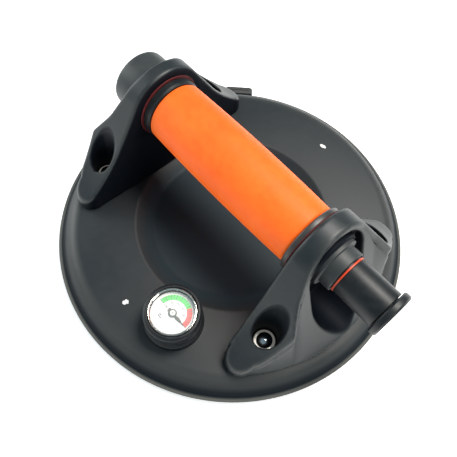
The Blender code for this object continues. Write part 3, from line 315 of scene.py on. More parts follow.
def speckledRubber(name, look):
    # the pad: moulded rubber with faint arcs from its tool, a few specks of dust and rings of painted light
    # and shade
    paint = Paint(name, Specular_IOR_Level=look["specular"], IOR=1.48)
    drift = paint.noise(22, 4.0)
    mottle = paint.noise(210, 3.0)
    grain = paint.noise(look["grain"], 2.0)
    rings = paint.node("ShaderNodeTexWave", {"wave_type": "RINGS", "rings_direction": "Z"},
                       {"Vector": paint.place(), "Scale": 95.0, "Distortion": 0.8, "Detail": 2.0}, "Fac")
    specks = 1 - paint.ramp(paint.cells(150), 0.035, 0.05)
    sparse = paint.ramp(paint.noise(75, 1.0), 0.62, 0.66)
    dust = specks * sparse
    colour = paint.blend(paint.ramp(drift * 0.75 + mottle * 0.25, 0.36, 0.64), look["deep"], look["pale"])
    colour = paint.blend(paint.worn() * 0.5, colour, look["edge"])
    colour = paint.blend(dust * 0.65, colour, (0.30, 0.30, 0.28))
    flat = paint.stretched((1.0, 1.0, 0.0))
    radius = paint.node("ShaderNodeVectorMath", {"operation": "LENGTH"}, {0: flat}, "Value")
    # from the middle outwards: the dish, duller and with painted bluish sky light; the shoulder with a
    # painted highlight; the wall under it, duller and with painted shade; and the lip with a painted
    # highlight
    dish = 1 - paint.ramp(radius, *padBands["dish"])
    shoulder = paint.ramp(radius, *padBands["shoulder"]) * (1 - paint.ramp(radius, *padBands["shoulderEnd"]))
    wall = paint.ramp(radius, *padBands["wall"])
    lip = paint.ramp(radius, *padBands["lip"])
    # painted highlight on the rounded shoulder
    colour = paint.blend(shoulder * 0.45, colour, (0.075, 0.075, 0.070))
    roughness = look["rough"] + (drift - 0.5) * look["spread"] + (mottle - 0.5) * 0.07 + dust * 0.2
    # painted bluish sky light in the dish
    dullPaintedColour = paint.blend(dish, colour, (0.0230, 0.0400, 0.0500))
    # painted shade on the wall under the shoulder
    dullPaintedColour = paint.blend(wall * 0.75, dullPaintedColour, (0.004, 0.008, 0.013))
    # painted highlight along the lip's edge
    dullPaintedColour = paint.blend(lip * 0.8, dullPaintedColour, (0.13, 0.13, 0.12))
    dullWithPaintedLight(paint, wall + dish * 0.7, dullPaintedColour, roughness + 0.2)
    return paint.surface(colour, roughness, grain + rings * 0.05, look["depth"], 0.06)


def lensFinish(name):
    paint = Paint(name, IOR=1.49, Specular_IOR_Level=0.5)
    smear = paint.noise(150, 3.0)
    glance = paint.node("ShaderNodeLayerWeight", {}, {"Blend": 0.25}, "Fresnel")
    paint.feed(paint.shader.inputs["Alpha"], 0.03 + glance * 0.22)
    return paint.surface(paint.blend(smear, (0.93, 0.95, 0.95), (0.98, 0.98, 0.98)), 0.03 + smear * 0.05)


finishes = {name: plasticFinish(name, look) for name, look in plasticLooks.items()
            if name not in ("padRubber", "bracketPlastic")}
finishes.update({name: metalFinish(name, look) for name, look in metalLooks.items()})
finishes["padRubber"] = speckledRubber("padRubber", plasticLooks["padRubber"])
finishes["lens"] = lensFinish("lens")
print("finishes made", len(finishes))


def finishPiece(piece, finish, body, node=None, sharp=38):
    mesh = piece.data
    mesh.materials.clear()
    mesh.materials.append(finishes[finish])
    mesh.shade_smooth()
    mesh.set_sharp_from_angle(angle=math.radians(sharp))
    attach(piece, body)
    if node:
        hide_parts(node)
    return piece


def meshPiece(name, points, faces):
    # points in millimetres
    mesh = bpy.data.meshes.new(name)
    mesh.from_pydata((np.asarray(points, float) * mm).tolist(), [], faces)
    shape = bmesh.new()
    shape.from_mesh(mesh)
    bmesh.ops.recalc_face_normals(shape, faces=shape.faces[:])
    shape.to_mesh(mesh)
    shape.free()
    piece = bpy.data.objects.new(name, mesh)
    bpy.context.scene.collection.objects.link(piece)
    return piece


def filleted(corners, closed=True, steps=5):
    # corners are (a, b) or (a, b, radius); each radius becomes an arc
    points = []
    count = len(corners)
    for index, corner in enumerate(corners):
        radius = corner[2] if len(corner) > 2 else 0.0
        here = Vector(corner[:2])
        if radius == 0.0 or (not closed and index in (0, count - 1)):
            points.append(tuple(here))
            continue
        before = Vector(corners[index - 1][:2]) - here
        after = Vector(corners[(index + 1) % count][:2]) - here
        half = before.angle(after) / 2
        reach = min(radius / math.tan(half), 0.48 * min(before.length, after.length))
        inward = (before.normalized() + after.normalized()).normalized()
        middle = here + inward * (reach / math.cos(half))
        first = here + before.normalized() * reach - middle
        last = here + after.normalized() * reach - middle
        sweep = -first.angle_signed(last)
        for step in range(steps + 1):
            points.append(tuple(middle + Matrix.Rotation(sweep * step / steps, 2) @ first))
    return points


def turnedPiece(name, corners, finish, body, node=None, at=None, steps=96, closed=True):
    # corners are (radius, distance along the axis, fillet)
    # at is the axis's x and y, or None for the handle's axis
    outline = filleted(corners, closed)
    points = []
    rings = []
    for radius, along in outline:
        ring = []
        for step in range(steps if radius > 1e-6 else 1):
            angle = 2 * math.pi * step / steps
            across = radius * math.cos(angle)
            up = radius * math.sin(angle)
            ring.append(len(points))
            if at is None:
                points.append((along, across, handleHeight + up))
            else:
                points.append((at[0] + across, at[1] + up, along))
        rings.append(ring)
    pairs = list(zip(rings, rings[1:]))
    if closed:
        pairs.append((rings[-1], rings[0]))
    faces = []
    for first, second in pairs:
        for step in range(steps):
            following = (step + 1) % steps
            loop = [first[step % len(first)], first[following % len(first)],
                    second[following % len(second)], second[step % len(second)]]
            loop = list(dict.fromkeys(loop))
            if len(loop) > 2:
                faces.append(loop)
    return finishPiece(meshPiece(name, points, faces), finish, body, node)


def slabPiece(name, outlines, low, high, finish, body, node=None, at=(0.0, 0.0)):
    # flat closed outlines, each given a top, a bottom and sides
    points = []
    faces = []
    for outline in outlines:
        start = len(points)
        count = len(outline)
        points += [(at[0] + x, at[1] + y, low) for x, y in outline]
        points += [(at[0] + x, at[1] + y, high) for x, y in outline]
        faces.append(list(range(start, start + count)))
        faces.append(list(range(start + count, start + 2 * count)))
        for index in range(count):
            following = (index + 1) % count
            faces.append([start + index, start + following, start + count + following, start + count + index])
    return finishPiece(meshPiece(name, points, faces), finish, body, node)


def roundMax(first, second, radius):
    # both, with the edge between them rounded
    left = np.maximum(first + radius, 0)
    right = np.maximum(second + radius, 0)
    return np.minimum(-radius, np.maximum(first, second)) + np.hypot(left, right)


def roundMin(first, second, radius):
    # either, with the corner between them filled
    return -roundMax(-first, -second, radius)


class Outline:
    # signed distance to a closed outline in a plane, looked up from a fine grid; negative inside
    def __init__(self, points, margin=6.0, step=0.3):
        shape = np.asarray(points, float)
        self.low = shape.min(0) - margin
        self.step = step
        self.count = np.ceil((shape.max(0) + margin - self.low) / step).astype(int) + 2
        across = self.low[0] + step * np.arange(self.count[0])
        along = self.low[1] + step * np.arange(self.count[1])
        spots = np.stack(np.meshgrid(across, along, indexing="ij"), -1).reshape(-1, 2)
        nearest = np.full(len(spots), 1e9)
        inside = np.zeros(len(spots), bool)
        for start, end in zip(shape, np.roll(shape, -1, 0)):
            run = end - start
            offset = spots - start
            share = np.clip(offset @ run / max(run @ run, 1e-12), 0, 1)
            nearest = np.minimum(nearest, np.linalg.norm(offset - share[:, None] * run, axis=1))
            crosses = (start[1] > spots[:, 1]) != (end[1] > spots[:, 1])
            rise = end[1] - start[1] if abs(end[1] - start[1]) > 1e-12 else 1e-12
            inside ^= crosses & (spots[:, 0] < start[0] + run[0] * (spots[:, 1] - start[1]) / rise)
        self.table = np.where(inside, -nearest, nearest).reshape(self.count)

    def distance(self, across, along):
        place = np.stack([across, along], -1)
        place = np.clip((place - self.low) / self.step, 0, self.count - 1.001)
        cell = place.astype(int)
        share = place - cell
        i, j = cell[:, 0], cell[:, 1]
        a, b = share[:, 0], share[:, 1]
        near = self.table[i, j] * (1 - b) + self.table[i, j + 1] * b
        far = self.table[i + 1, j] * (1 - b) + self.table[i + 1, j + 1] * b
        return near * (1 - a) + far * a


def mouldedPiece(name, field, low, high, cell):
    # the skin of a solid given as a field of signed distances: negative inside
    relaxes = 3
    probe = 0.05
    low = np.asarray(low, float)
    count = np.ceil((np.asarray(high, float) - low) / cell).astype(int) + 1
    axes = [low[axis] + cell * np.arange(count[axis]) for axis in range(3)]
    spots = np.stack(np.meshgrid(*axes, indexing="ij"), -1).reshape(-1, 3)
    values = field(spots).reshape(count)
    cells = count - 1
    total = np.zeros((*cells, 3))
    hits = np.zeros(cells)
    for axis in range(3):
        others = [other for other in range(3) if other != axis]
        for offsets in ((0, 0), (0, 1), (1, 0), (1, 1)):
            start = [slice(0, cells[a]) for a in range(3)]
            for other, offset in zip(others, offsets):
                start[other] = slice(offset, offset + cells[other])
            end = list(start)
            end[axis] = slice(1, cells[axis] + 1)
            here, there = values[tuple(start)], values[tuple(end)]
            crossed = (here < 0) != (there < 0)
            total[..., axis] += np.where(crossed, here / np.where(crossed, here - there, 1), 0)
            for other, offset in zip(others, offsets):
                total[..., other] += offset * crossed
            hits += crossed
    used = hits > 0
    number = np.full(cells, -1)
    number[used] = np.arange(used.sum())
    points = low + cell * (np.argwhere(used) + total[used] / hits[used][:, None])
    faces = []
    for axis in range(3):
        first, second = (axis + 1) % 3, (axis + 2) % 3
        start = [slice(1, -1)] * 3
        start[axis] = slice(0, -1)
        end = list(start)
        end[axis] = slice(1, None)
        crossed = (values[tuple(start)] < 0) != (values[tuple(end)] < 0)
        spot = np.argwhere(crossed)
        spot[:, first] += 1
        spot[:, second] += 1
        loop = []
        for back in ((1, 1), (0, 1), (0, 0), (1, 0)):
            corner = spot.copy()
            corner[:, first] -= back[0]
            corner[:, second] -= back[1]
            loop.append(number[tuple(corner.T)])
        faces.append(np.stack(loop, -1))
    faces = np.concatenate(faces)
    links = np.concatenate([faces[:, [a, (a + 1) % 4]] for a in range(4)])
    links = np.concatenate([links, links[:, ::-1]])
    degree = np.bincount(links[:, 0], minlength=len(points))[:, None]
    for step in range(relaxes + 1):
        if step:
            sums = [np.bincount(links[:, 0], points[links[:, 1], a], len(points)) for a in range(3)]
            points = 0.5 * points + 0.5 * np.stack(sums, -1) / degree
        for repeat in range(2):
            slope = np.stack([(field(points + probe * along) - field(points - probe * along)) / (2 * probe)
                              for along in np.eye(3)], -1)
            move = field(points)[:, None] * slope / np.maximum((slope ** 2).sum(1), 0.05)[:, None]
            length = np.linalg.norm(move, axis=1)[:, None]
            points = points - move * np.minimum(1, 0.5 * cell / np.maximum(length, 1e-9))
    return meshPiece(name, points, faces.tolist())


shot = {
    "target": (0.0, 0.0, 30.0),   # millimetres
    "slideRight": -2.94,
    "slideUp": -13.36,
    "distance": 290.2,
    "azimuth": 43.44,
    "elevation": 63.53,
    "roll": 4.9,
    "lens": 40.82,
}
studio = {
    "world": 0.30,
    "worldTint": (0.62, 0.86, 1.0),
    "floor": (0.93, 0.93, 0.925),
    "floorGlow": 0.62,
    "lamps": {
        # name: (place in metres, size in metres, power in watts, colour)
        "keyAbove": ((0.08, 0.34, 0.84), 0.40, 8.4, (1.0, 0.96, 0.90)),
        "sideRight": ((0.66, 0.20, 0.66), 0.45, 3.0, (1.0, 0.96, 0.90)),
        "fillLeft": ((-0.75, -0.30, 0.38), 0.50, 3.6, (0.97, 1.0, 1.0)),
    },
}


def placeCamera():
    azimuth, elevation, roll = (math.radians(shot[key]) for key in ("azimuth", "elevation", "roll"))
    back = Vector((math.sin(azimuth) * math.cos(elevation), -math.cos(azimuth) * math.cos(elevation),
                   math.sin(elevation)))
    level = Vector((math.cos(azimuth), math.sin(azimuth), 0.0))
    upright = back.cross(level)
    right = level * math.cos(roll) + upright * math.sin(roll)
    up = upright * math.cos(roll) - level * math.sin(roll)
    spot = Vector(shot["target"]) + back * shot["distance"]
    spot += right * shot["slideRight"] + up * shot["slideUp"]
    data = bpy.data.cameras.new("camera")
    data.lens = shot["lens"]
    data.sensor_width = 36.0
    data.clip_start = 0.01
    camera = bpy.data.objects.new("camera", data)
    bpy.context.scene.collection.objects.link(camera)
    camera.matrix_world = Matrix((right, up, back)).transposed().to_4x4()
    camera.location = spot * mm
    bpy.context.scene.camera = camera


def makeStudio():
    reach = 2.5
    paint = Paint("paleFloor", Specular_IOR_Level=0.15, Emission_Strength=studio["floorGlow"],
                  Emission_Color=studio["floor"])
    shade = paint.noise(3.0)
    paint.surface(paint.blend(shade, studio["floor"], (0.95, 0.95, 0.945)), 0.75 + shade * 0.1)
    mesh = bpy.data.meshes.new("floor")
    corners = [(x * reach, y * reach, -0.0004) for x, y in ((-1, -1), (1, -1), (1, 1), (-1, 1))]
    mesh.from_pydata(corners, [], [(0, 1, 2, 3)])
    mesh.materials.append(paint.material)
    floor = bpy.data.objects.new("floor", mesh)
    bpy.context.scene.collection.objects.link(floor)
    world = bpy.data.worlds.new("paleRoom")
    bpy.context.scene.world = world
    world.use_nodes = True
    background = world.node_tree.nodes["Background"]
    background.inputs["Color"].default_value = (*studio["worldTint"], 1.0)
    background.inputs["Strength"].default_value = studio["world"]
    for name, (spot, size, power, colour) in studio["lamps"].items():
        data = bpy.data.lights.new(name, "AREA")
        data.shape = "DISK"
        data.size = size
        data.energy = power
        data.color = colour
        lamp = bpy.data.objects.new(name, data)
        bpy.context.scene.collection.objects.link(lamp)
        lamp.location = spot
        lamp.rotation_euler = (Vector(spot) - Vector((0.0, 0.0, 0.03))).to_track_quat("Z", "Y").to_euler()


placeCamera()
makeStudio()
bpy.context.scene.view_settings.view_transform = "Standard"
print("camera and studio placed")


padUnder, padTop, padEdge = discOf("suction_pad")
padShape = {
    "top": padTop,
    "edge": padEdge,
    "under": padUnder,
    "shoulderIn": 8.6,      # shoulder's corner in from the lip's edge
    "wallFoot": 2.9,        # wall's foot in from the lip's edge
    "lipTop": 3.9,
    "dishEdge": 56.5,
    "dishSlope": 10.0,
    "dishDepth": 5.0,
    "dishSag": 0.8,
    "skin": 2.0,
    "rimInner": 87.9,
    "steps": 256,
}


def makePad():
    shape = padShape
    top, edge, under, skin = (shape[key] for key in ("top", "edge", "under", "skin"))
    lip, dishEdge, rim = (shape[key] for key in ("lipTop", "dishEdge", "rimInner"))
    floor = top - shape["dishDepth"]
    inner = dishEdge - shape["dishSlope"]
    sag = shape["dishSag"]
    outline = [(inner * share, floor - sag * (1 - share ** 2)) for share in (0.0, 0.25, 0.5, 0.75)]
    outline += [(inner, floor, 7.0), (dishEdge, top, 4.5), (edge - shape["shoulderIn"], top, 12.0),
                (edge - shape["wallFoot"], lip + 1.5, 2.2), (edge - 1.3, lip + 0.1, 0.6),
                (edge, lip - 0.1, 0.35), (edge - 0.25, under, 0.2), (rim + 2.0, under, 0.6),
                (rim, under + 2.0, 0.6), (rim, top - skin, 0.6), (dishEdge, top - skin, 4.0),
                (inner, floor - skin, 6.0), (0.0, floor - skin - sag)]
    turnedPiece("padShell", outline, "padRubber", "base", "suction_pad", (0.0, 0.0),
                shape["steps"], closed=False)


sealShape = {
    "width": 10.0,
    "ribs": 4,
    "grooveDepth": 0.6,     # shallow grooves part the ribs that meet the glass
}


def makeSeal():
    bottom, top, edge = discOf("sealing_ring")
    width, ribs = sealShape["width"], sealShape["ribs"]
    groove = bottom + sealShape["grooveDepth"]
    outline = [(edge - width, top, 0.3), (edge - 0.5, top, 0.4), (edge, top - 0.7, 0.3),
               (edge - 0.35, bottom, 0.3)]
    pitch = (width - 1.6) / ribs
    for rib in range(ribs):
        start = edge - 1.0 - rib * pitch
        outline += [(start - pitch * 0.55, bottom, 0.15), (start - pitch * 0.7, groove, 0.15),
                    (start - pitch * 0.95, groove, 0.15), (start - pitch, bottom, 0.15)]
    outline.append((edge - width, bottom + 0.4, 0.2))
    turnedPiece("sealRing", outline, "sealRubber", "base", "sealing_ring", (0.0, 0.0), 256)


def makeLiner():
    top, edge = discOf("pad_liner")[1:]
    thickness = 1.8
    sag, dishEdge = padShape["dishSag"], padShape["dishEdge"]
    inner = dishEdge - padShape["dishSlope"]
    floor = top - padShape["dishDepth"]
    outline = [(0.0, floor - sag), (inner, floor, 5.0), (dishEdge, top, 4.0), (edge, top, 0.3),
               (edge, top - thickness, 0.3), (dishEdge, top - thickness, 4.0),
               (inner, floor - thickness, 5.0), (0.0, floor - thickness - sag)]
    turnedPiece("padLiner", outline, "linerRubber", "base", "pad_liner", (0.0, 0.0), 160,
                closed=False)


def makeFilter():
    spot = middleOf("filter_disc")
    seat = discOf("filter_disc")[0]
    radius = discOf("filter_disc")[2]
    low, high = seat - 0.15, seat + 0.6
    outline = [(0.0, high), (radius, high, 0.3), (radius, low, 0.3), (0.0, low)]
    turnedPiece("filterDisc", outline, "filterFelt", "base", "filter_disc", (spot.x, spot.y), 48,
                closed=False)


makePad()
makeSeal()
makeLiner()
makeFilter()
print("pad made")


pinShape = {
    "spread": 78.0,
    "radius": 1.65,
    "height": 0.28,
}


def makePins():
    # the heads are left rough where they were cut
    chips = np.random.default_rng(7)
    top = padShape["top"]
    for side, word in ((-1, "front"), (1, "rear")):
        outline = []
        for step in range(22):
            angle = 2 * math.pi * step / 22
            radius = pinShape["radius"] + 0.4 * math.sin(2 * angle + side) + chips.uniform(-0.3, 0.3)
            outline.append((radius * math.cos(angle), 0.8 * radius * math.sin(angle)))
        pin = slabPiece("locatingPin_" + word, [outline], top - 0.5, top + pinShape["height"], "whitePlastic",
                        "base", None, (0.0, side * pinShape["spread"]))
        for vertex in pin.data.vertices:
            if vertex.co.z > top * mm:
                vertex.co.z += chips.uniform(-0.25, 0.3) * mm


makePins()


tabLow = boxOf("release_tab")[0].z
tabShape = {
    "angle": math.radians(135),
    "low": tabLow,
    "high": tabLow + 2.4,
    "width": 18.4,
    "inner": 100.1,
    "outer": 105.6,
    "corner": 2.2,
    "ribIn": 2.3,           # rib's line in from the outer edge
    "ribRadius": 0.9,
}


def tabField(points):
    shape = tabShape
    low, high, halfWidth = shape["low"], shape["high"], shape["width"] / 2
    out, across, up = points[:, 0], points[:, 1], points[:, 2]
    halfLength = (shape["outer"] - shape["inner"]) / 2
    pastOut = np.abs(out - shape["inner"] - halfLength) - halfLength
    pastAcross = np.abs(across) - halfWidth
    corner = np.where(out > shape["inner"] + halfLength, shape["corner"], 0.3)
    overOut = np.maximum(pastOut + corner, 0)
    overAcross = np.maximum(pastAcross + corner, 0)
    plan = np.hypot(overOut, overAcross) - corner
    plan = np.where((overOut <= 0) | (overAcross <= 0), np.maximum(pastOut, pastAcross), plan)
    plate = roundMax(plan, np.maximum(up - high, low - up), 0.55)
    aside = np.maximum(pastAcross + 2.2, 0)
    back = out - shape["outer"] + shape["ribIn"]
    rib = np.sqrt(back ** 2 + (up - high + 0.25) ** 2 + aside ** 2) - shape["ribRadius"]
    return roundMin(plate, rib, 0.35)


def rootField(points):
    # the block on the lip that the tab is hinged to
    out, across, up = points[:, 0], points[:, 1], points[:, 2]
    middle, half = tabShape["inner"] - 3.7, 3.4
    plan = np.maximum(np.abs(out - middle) - half, np.abs(across) - tabShape["width"] / 2 + 0.6)
    return roundMax(plan, np.maximum(up - tabShape["high"], padShape["lipTop"] - 0.8 - up), 0.6)


def makeTab():
    turn = Matrix.Rotation(tabShape["angle"], 4, "Z")
    half = tabShape["width"] / 2 + 0.6
    tab = mouldedPiece("releaseTab", tabField, (99.4, -half, 4.4), (106.4, half, 9.2), 0.22)
    root = mouldedPiece("tabRoot", rootField, (92.4, -half, 2.4), (100.4, half, 8.3), 0.25)
    for piece in (tab, root):
        piece.data.transform(turn)
    finishPiece(tab, "tabRubber", "tab", "release_tab")
    finishPiece(root, "padRubber", "base", None)


makeTab()
print("tab made")


bracketLow, bracketHigh = boxOf("pump_bracket")
screwSpot = middleOf("screw_front_right")
bracketShape = {
    "inner": bracketLow.x,
    "innerShift": {"pumpBracket": -1.4, "capBracket": -0.2},   # the two inner walls differ a little
    "base": bracketLow.z,
    "hub": bracketHigh.z - handleHeight + 1.2,
    "wallOut": boxOf("barrel_nut")[0].x - fitGap,
    "bore": 13.5,
    "slope": 1.72,
    "knee": (42.4, 37.5),   # across and up, where the strip's fall eases
    "tipSlope": 0.9,
    # the strip's outer edge: out, across and fillet
    "outer": [(62.8, 0.0), (63.2, 9.0, 8.0), (65.0, 17.8, 8.0), (70.2, 26.4, 12.0), (78.6, 34.6, 2.4),
              (74.6, 50.0, 20.0)],
    # the inner wall: across, then how far it stands back
    "innerLean": [(0.0, 0.0), (22.0, 0.2), (40.0, 1.4), (54.0, 2.4)],
    "tip": (64.3, 53.0, 8.2),
    "groove": (2.2, 3.8),   # width, and depth below the strip's edge, of the groove outside the strip
    "grooveStart": (21.0, 27.0),
    "grooveEnd": (38.0, 50.0),
    "skirtFoot": 91.0,
    "edgeRound": 1.9,
    "step": 2.8,            # strip's edge above the skirt
    "skirtCurve": 1.35,
    "archRadius": 17.8,
    "archSpring": 50.0,
    "archSill": 17.0,
    "archRound": 1.1,
    "screw": (screwSpot.x, abs(screwSpot.y)),
    "pocket": 6.5,
    "pocketFloor": 23.0,
    "draft": 0.05,
    "cell": 0.8,
}


def bracketPaintedShade(paint):
    # painted shade: 1 on walls that face the grip and in the arch round the plunger, nearly 1 in the screws'
    # pockets
    shape = bracketShape
    spring, sill, wallOut = shape["archSpring"] * mm, shape["archSill"] * mm, shape["wallOut"] * mm
    split = paint.node("ShaderNodeSeparateXYZ", {}, {"Vector": paint.place()})
    x, y, z = (Value(paint, output) for output in split.socket.node.outputs)
    facing = paint.node("ShaderNodeTexCoord", {}, {}, "Normal")
    towards = 0 - x * paint.node("ShaderNodeSeparateXYZ", {}, {"Vector": facing})
    radius = shape["archRadius"] * mm
    below = paint.maths("MINIMUM", z - spring, 0) / (spring - sill)
    above = paint.maths("MAXIMUM", z - handleHeight * mm, 0) / radius
    within = (y / radius) ** 2 + below ** 2 + above ** 2
    out = paint.maths("ABSOLUTE", x, 0)
    arch = (1 - paint.ramp(within, 1.02, 1.14)) * paint.ramp(out, wallOut - mm, wallOut)
    offX = out - shape["screw"][0] * mm
    offY = paint.maths("ABSOLUTE", y, 0) - shape["screw"][1] * mm
    spot = (offX * offX + offY * offY) ** 0.5 - shape["draft"] * (z - shape["pocketFloor"] * mm)
    pocket = (1 - paint.ramp(spot, (shape["pocket"] + 0.4) * mm, (shape["pocket"] + 1.1) * mm)) * 0.8
    towards = paint.ramp(towards, 0.030, 0.048)
    return paint.maths("MAXIMUM", paint.maths("MAXIMUM", arch, pocket), towards)


# the bracket's plastic, with painted shade on its inner walls, in its arch and in its pockets
finishes["bracketPlastic"] = plasticFinish("bracketPlastic", plasticLooks["bracketPlastic"], bracketPaintedShade)


def stripOutline(inner):
    # the strip's plan on one side of the handle: its outer edge, and the closed outline
    shape = bracketShape
    tipX, tipY, tipRadius = shape["tip"]
    start = shape["outer"][0][0]
    corners = [(start, -26.0)] + shape["outer"][1:] + [(tipX + tipRadius, tipY)]
    outer = filleted(corners, closed=False, steps=8)[1:]
    outer = [(start, -25.0), (start, 0.0)] + [point for point in outer if point[1] > 0.5]
    tip = [(tipX + tipRadius * math.cos(turn), tipY + tipRadius * math.sin(turn))
           for turn in (math.pi * step / 24 for step in range(25))]
    wall = [(inner + lean, across) for across, lean in reversed(shape["innerLean"])]
    return outer, outer + tip[1:] + wall + [(inner, -25.0)]


def footOutline(inner):
    # plan of the whole bracket where it stands on the pad
    shape = bracketShape
    tipX, tipY, tipRadius = shape["tip"]
    points = [(inner, -25.0)]
    for step in range(41):
        across = -25.0 + (tipY + tipRadius + 25.0) * step / 40
        past = min(1.0, max(0.0, across - tipY) / tipRadius)
        pull = 1 - math.sqrt(1 - past * past)
        foot = math.sqrt(shape["skirtFoot"] ** 2 - across ** 2)
        points.append((foot + (tipX - foot) * pull * 0.9, across))
    tip = [(tipX + tipRadius * math.cos(turn), tipY + tipRadius * math.sin(turn))
           for turn in (math.pi * step / 24 for step in range(12, 25))]
    return points + tip + [(inner + lean, across) for across, lean in reversed(shape["innerLean"])]


def archOutline():
    shape = bracketShape
    radius, spring, sill = shape["archRadius"], shape["archSpring"], shape["archSill"]
    points = [(radius * math.cos(turn), handleHeight + radius * math.sin(turn))
              for turn in (math.pi * step / 40 for step in range(41))]
    points += [(radius * math.cos(turn), spring + (spring - sill) * math.sin(turn))
               for turn in (math.pi * (1 + step / 40) for step in range(1, 40))]
    return points


def makeBracketField(inner, airHole):
    shape = bracketShape
    outerEdge, strip = stripOutline(inner)
    stripPlan = Outline(strip)
    footPlan = Outline(footOutline(inner))
    archPlan = Outline(archOutline())
    edgeAcross = np.array([point[1] for point in outerEdge])
    edgeOut = np.array([point[0] for point in outerEdge])
    lean = math.atan(shape["slope"])
    tipX, tipY, tipRadius = shape["tip"]
    base = shape["base"]
    kneeAcross, kneeUp = shape["knee"]
    ease = math.atan(shape["tipSlope"])

    def stripTop(across, up):
        rise = up - handleHeight
        arc = np.hypot(across, rise) - shape["hub"]
        straight = across * math.sin(lean) + rise * math.cos(lean) - shape["hub"]
        straight = np.where(across * math.cos(lean) < rise * math.sin(lean), arc, straight)
        eased = (across - kneeAcross) * math.sin(ease) + (up - kneeUp) * math.cos(ease)
        return roundMin(straight, eased, 5.0)

    def topHeight(across):
        tangent = shape["hub"] * math.sin(lean)
        arc = handleHeight + np.sqrt(np.maximum(shape["hub"] ** 2 - across ** 2, 0))
        straight = handleHeight + shape["hub"] / math.cos(lean) - shape["slope"] * across
        straight = np.where(across < tangent, arc, straight)
        return np.maximum(straight, kneeUp - shape["tipSlope"] * (across - kneeAcross))

    def skirtOut(across, up):
        # how far out the skirt stands at a height
        past = np.clip((across - tipY) / tipRadius, 0, 1)
        pull = 1 - np.sqrt(1 - past ** 2)
        start = np.interp(across, edgeAcross, edgeOut) + 0.2
        start = start + (tipX - start) * pull
        foot = np.sqrt(np.maximum(shape["skirtFoot"] ** 2 - across ** 2, 1))
        foot = foot + (tipX - foot) * pull * 0.9
        foot = np.maximum(foot, start + 0.6)
        high = topHeight(across) - shape["edgeRound"] - shape["step"]
        low = base + 0.8
        share = np.clip((up - low) / np.maximum(high - low, 0.5), 0, 1)
        return start + (foot - start) * (1 - share ** (1 / shape["skirtCurve"])), high

    def field(points):
        out, across, up = points[:, 0], np.abs(points[:, 1]), points[:, 2]
        slab = roundMax(stripPlan.distance(out, across), stripTop(across, up), shape["edgeRound"])
        reach = 0.2
        face, high = skirtOut(across, up)
        leanUp = (skirtOut(across, up + reach)[0] - skirtOut(across, up - reach)[0]) / (2 * reach)
        nearer = np.maximum(across - reach, 0)
        leanAcross = (skirtOut(across + reach, up)[0] - skirtOut(nearer, up)[0]) / (2 * reach)
        skirt = (out - face) / np.sqrt(1 + np.minimum(leanUp ** 2, 9) + np.minimum(leanAcross ** 2, 4))
        skirt = roundMax(skirt, (up - high) * math.cos(lean), 0.5)
        skirt = np.maximum(skirt, footPlan.distance(out, across))
        width, depth = shape["groove"]
        fade = np.interp(across, (*shape["grooveStart"], *shape["grooveEnd"]), (0.0, 1.0, 1.0, 0.0))
        slot = np.maximum(stripPlan.distance(out, across) - width, high - depth * fade - up)
        skirt = roundMax(skirt, -slot, 0.7)
        body = roundMin(slab, skirt, 0.4)
        body = roundMax(body, base - up, 0.3)
        arch = roundMax(archPlan.distance(across, up), shape["wallOut"] - out, 1.6)
        body = roundMax(body, -arch, shape["archRound"])
        body = roundMax(body, shape["bore"] - np.hypot(across, up - handleHeight), 0.6)
        spot = np.hypot(out - shape["screw"][0], across - shape["screw"][1])
        wall = spot - shape["pocket"] - shape["draft"] * (up - shape["pocketFloor"])
        pocket = roundMax(wall, shape["pocketFloor"] - up, 1.0)
        body = roundMax(body, -pocket, 1.0)
        body = np.maximum(body, 2.8 - spot)
        if airHole:
            body = np.maximum(body, 3.5 - np.hypot(out - airHole, points[:, 1]))
        return body

    return field


def makeBrackets():
    airSpot = middleOf("air_tube")
    for name, side, airHole in (("pumpBracket", 1, None), ("capBracket", -1, -airSpot.x)):
        inner = bracketShape["inner"] + bracketShape["innerShift"][name]
        # the block of space the skin is looked for in
        low, high = (inner - 1.6, -63.4, 13.2), (93.0, 63.4, 88.8)
        piece = mouldedPiece(name, makeBracketField(inner, airHole), low, high, bracketShape["cell"])
        if side < 0:
            piece.data.transform(Matrix.Rotation(math.pi, 4, "Z"))
        node = "pump_bracket" if side > 0 else "cap_bracket"
        finishPiece(piece, "bracketPlastic", "base", node, sharp=60)


makeBrackets()
print("brackets made")


screwShape = {
    "head": 4.25,
    "dome": 2.6,
    "shank": 2.5,
}


def makeScrews():
    head, dome, shank = screwShape["head"], screwShape["dome"] - 0.3, screwShape["shank"]
    for corner in ("front_right", "rear_right", "front_left", "rear_left"):
        spot = middleOf("screw_" + corner)
        at = (spot.x, spot.y)
        bottom, top = discOf("screw_" + corner)[:2]
        seat = top - screwShape["dome"]
        outline = [(0.0, top)]
        for turn in (76, 62, 48, 34, 20, 8):
            angle = math.radians(turn)
            outline.append((head * math.cos(angle), seat + 0.3 + dome * math.sin(angle)))
        outline += [(head, seat + 0.3, 0.15), (head - 0.15, seat), (shank, seat, 0.1), (shank, bottom, 0.3),
                    (0.0, bottom)]
        turnedPiece("screw_" + corner + "_fine", outline, "polishedSteel", "base", "screw_" + corner,
                    at, 64, closed=False)
        bottom, top, radius = discOf("washer_" + corner)
        rim = [(2.8, top, 0.15), (radius, top, 0.25), (radius, bottom, 0.25), (2.8, bottom, 0.15)]
        turnedPiece("washer_" + corner + "_fine", rim, "zincWasher", "base", "washer_" + corner,
                    at, 64)


makeScrews()
print("screws made")


barrelBore = 13.5   # what slides over the barrel


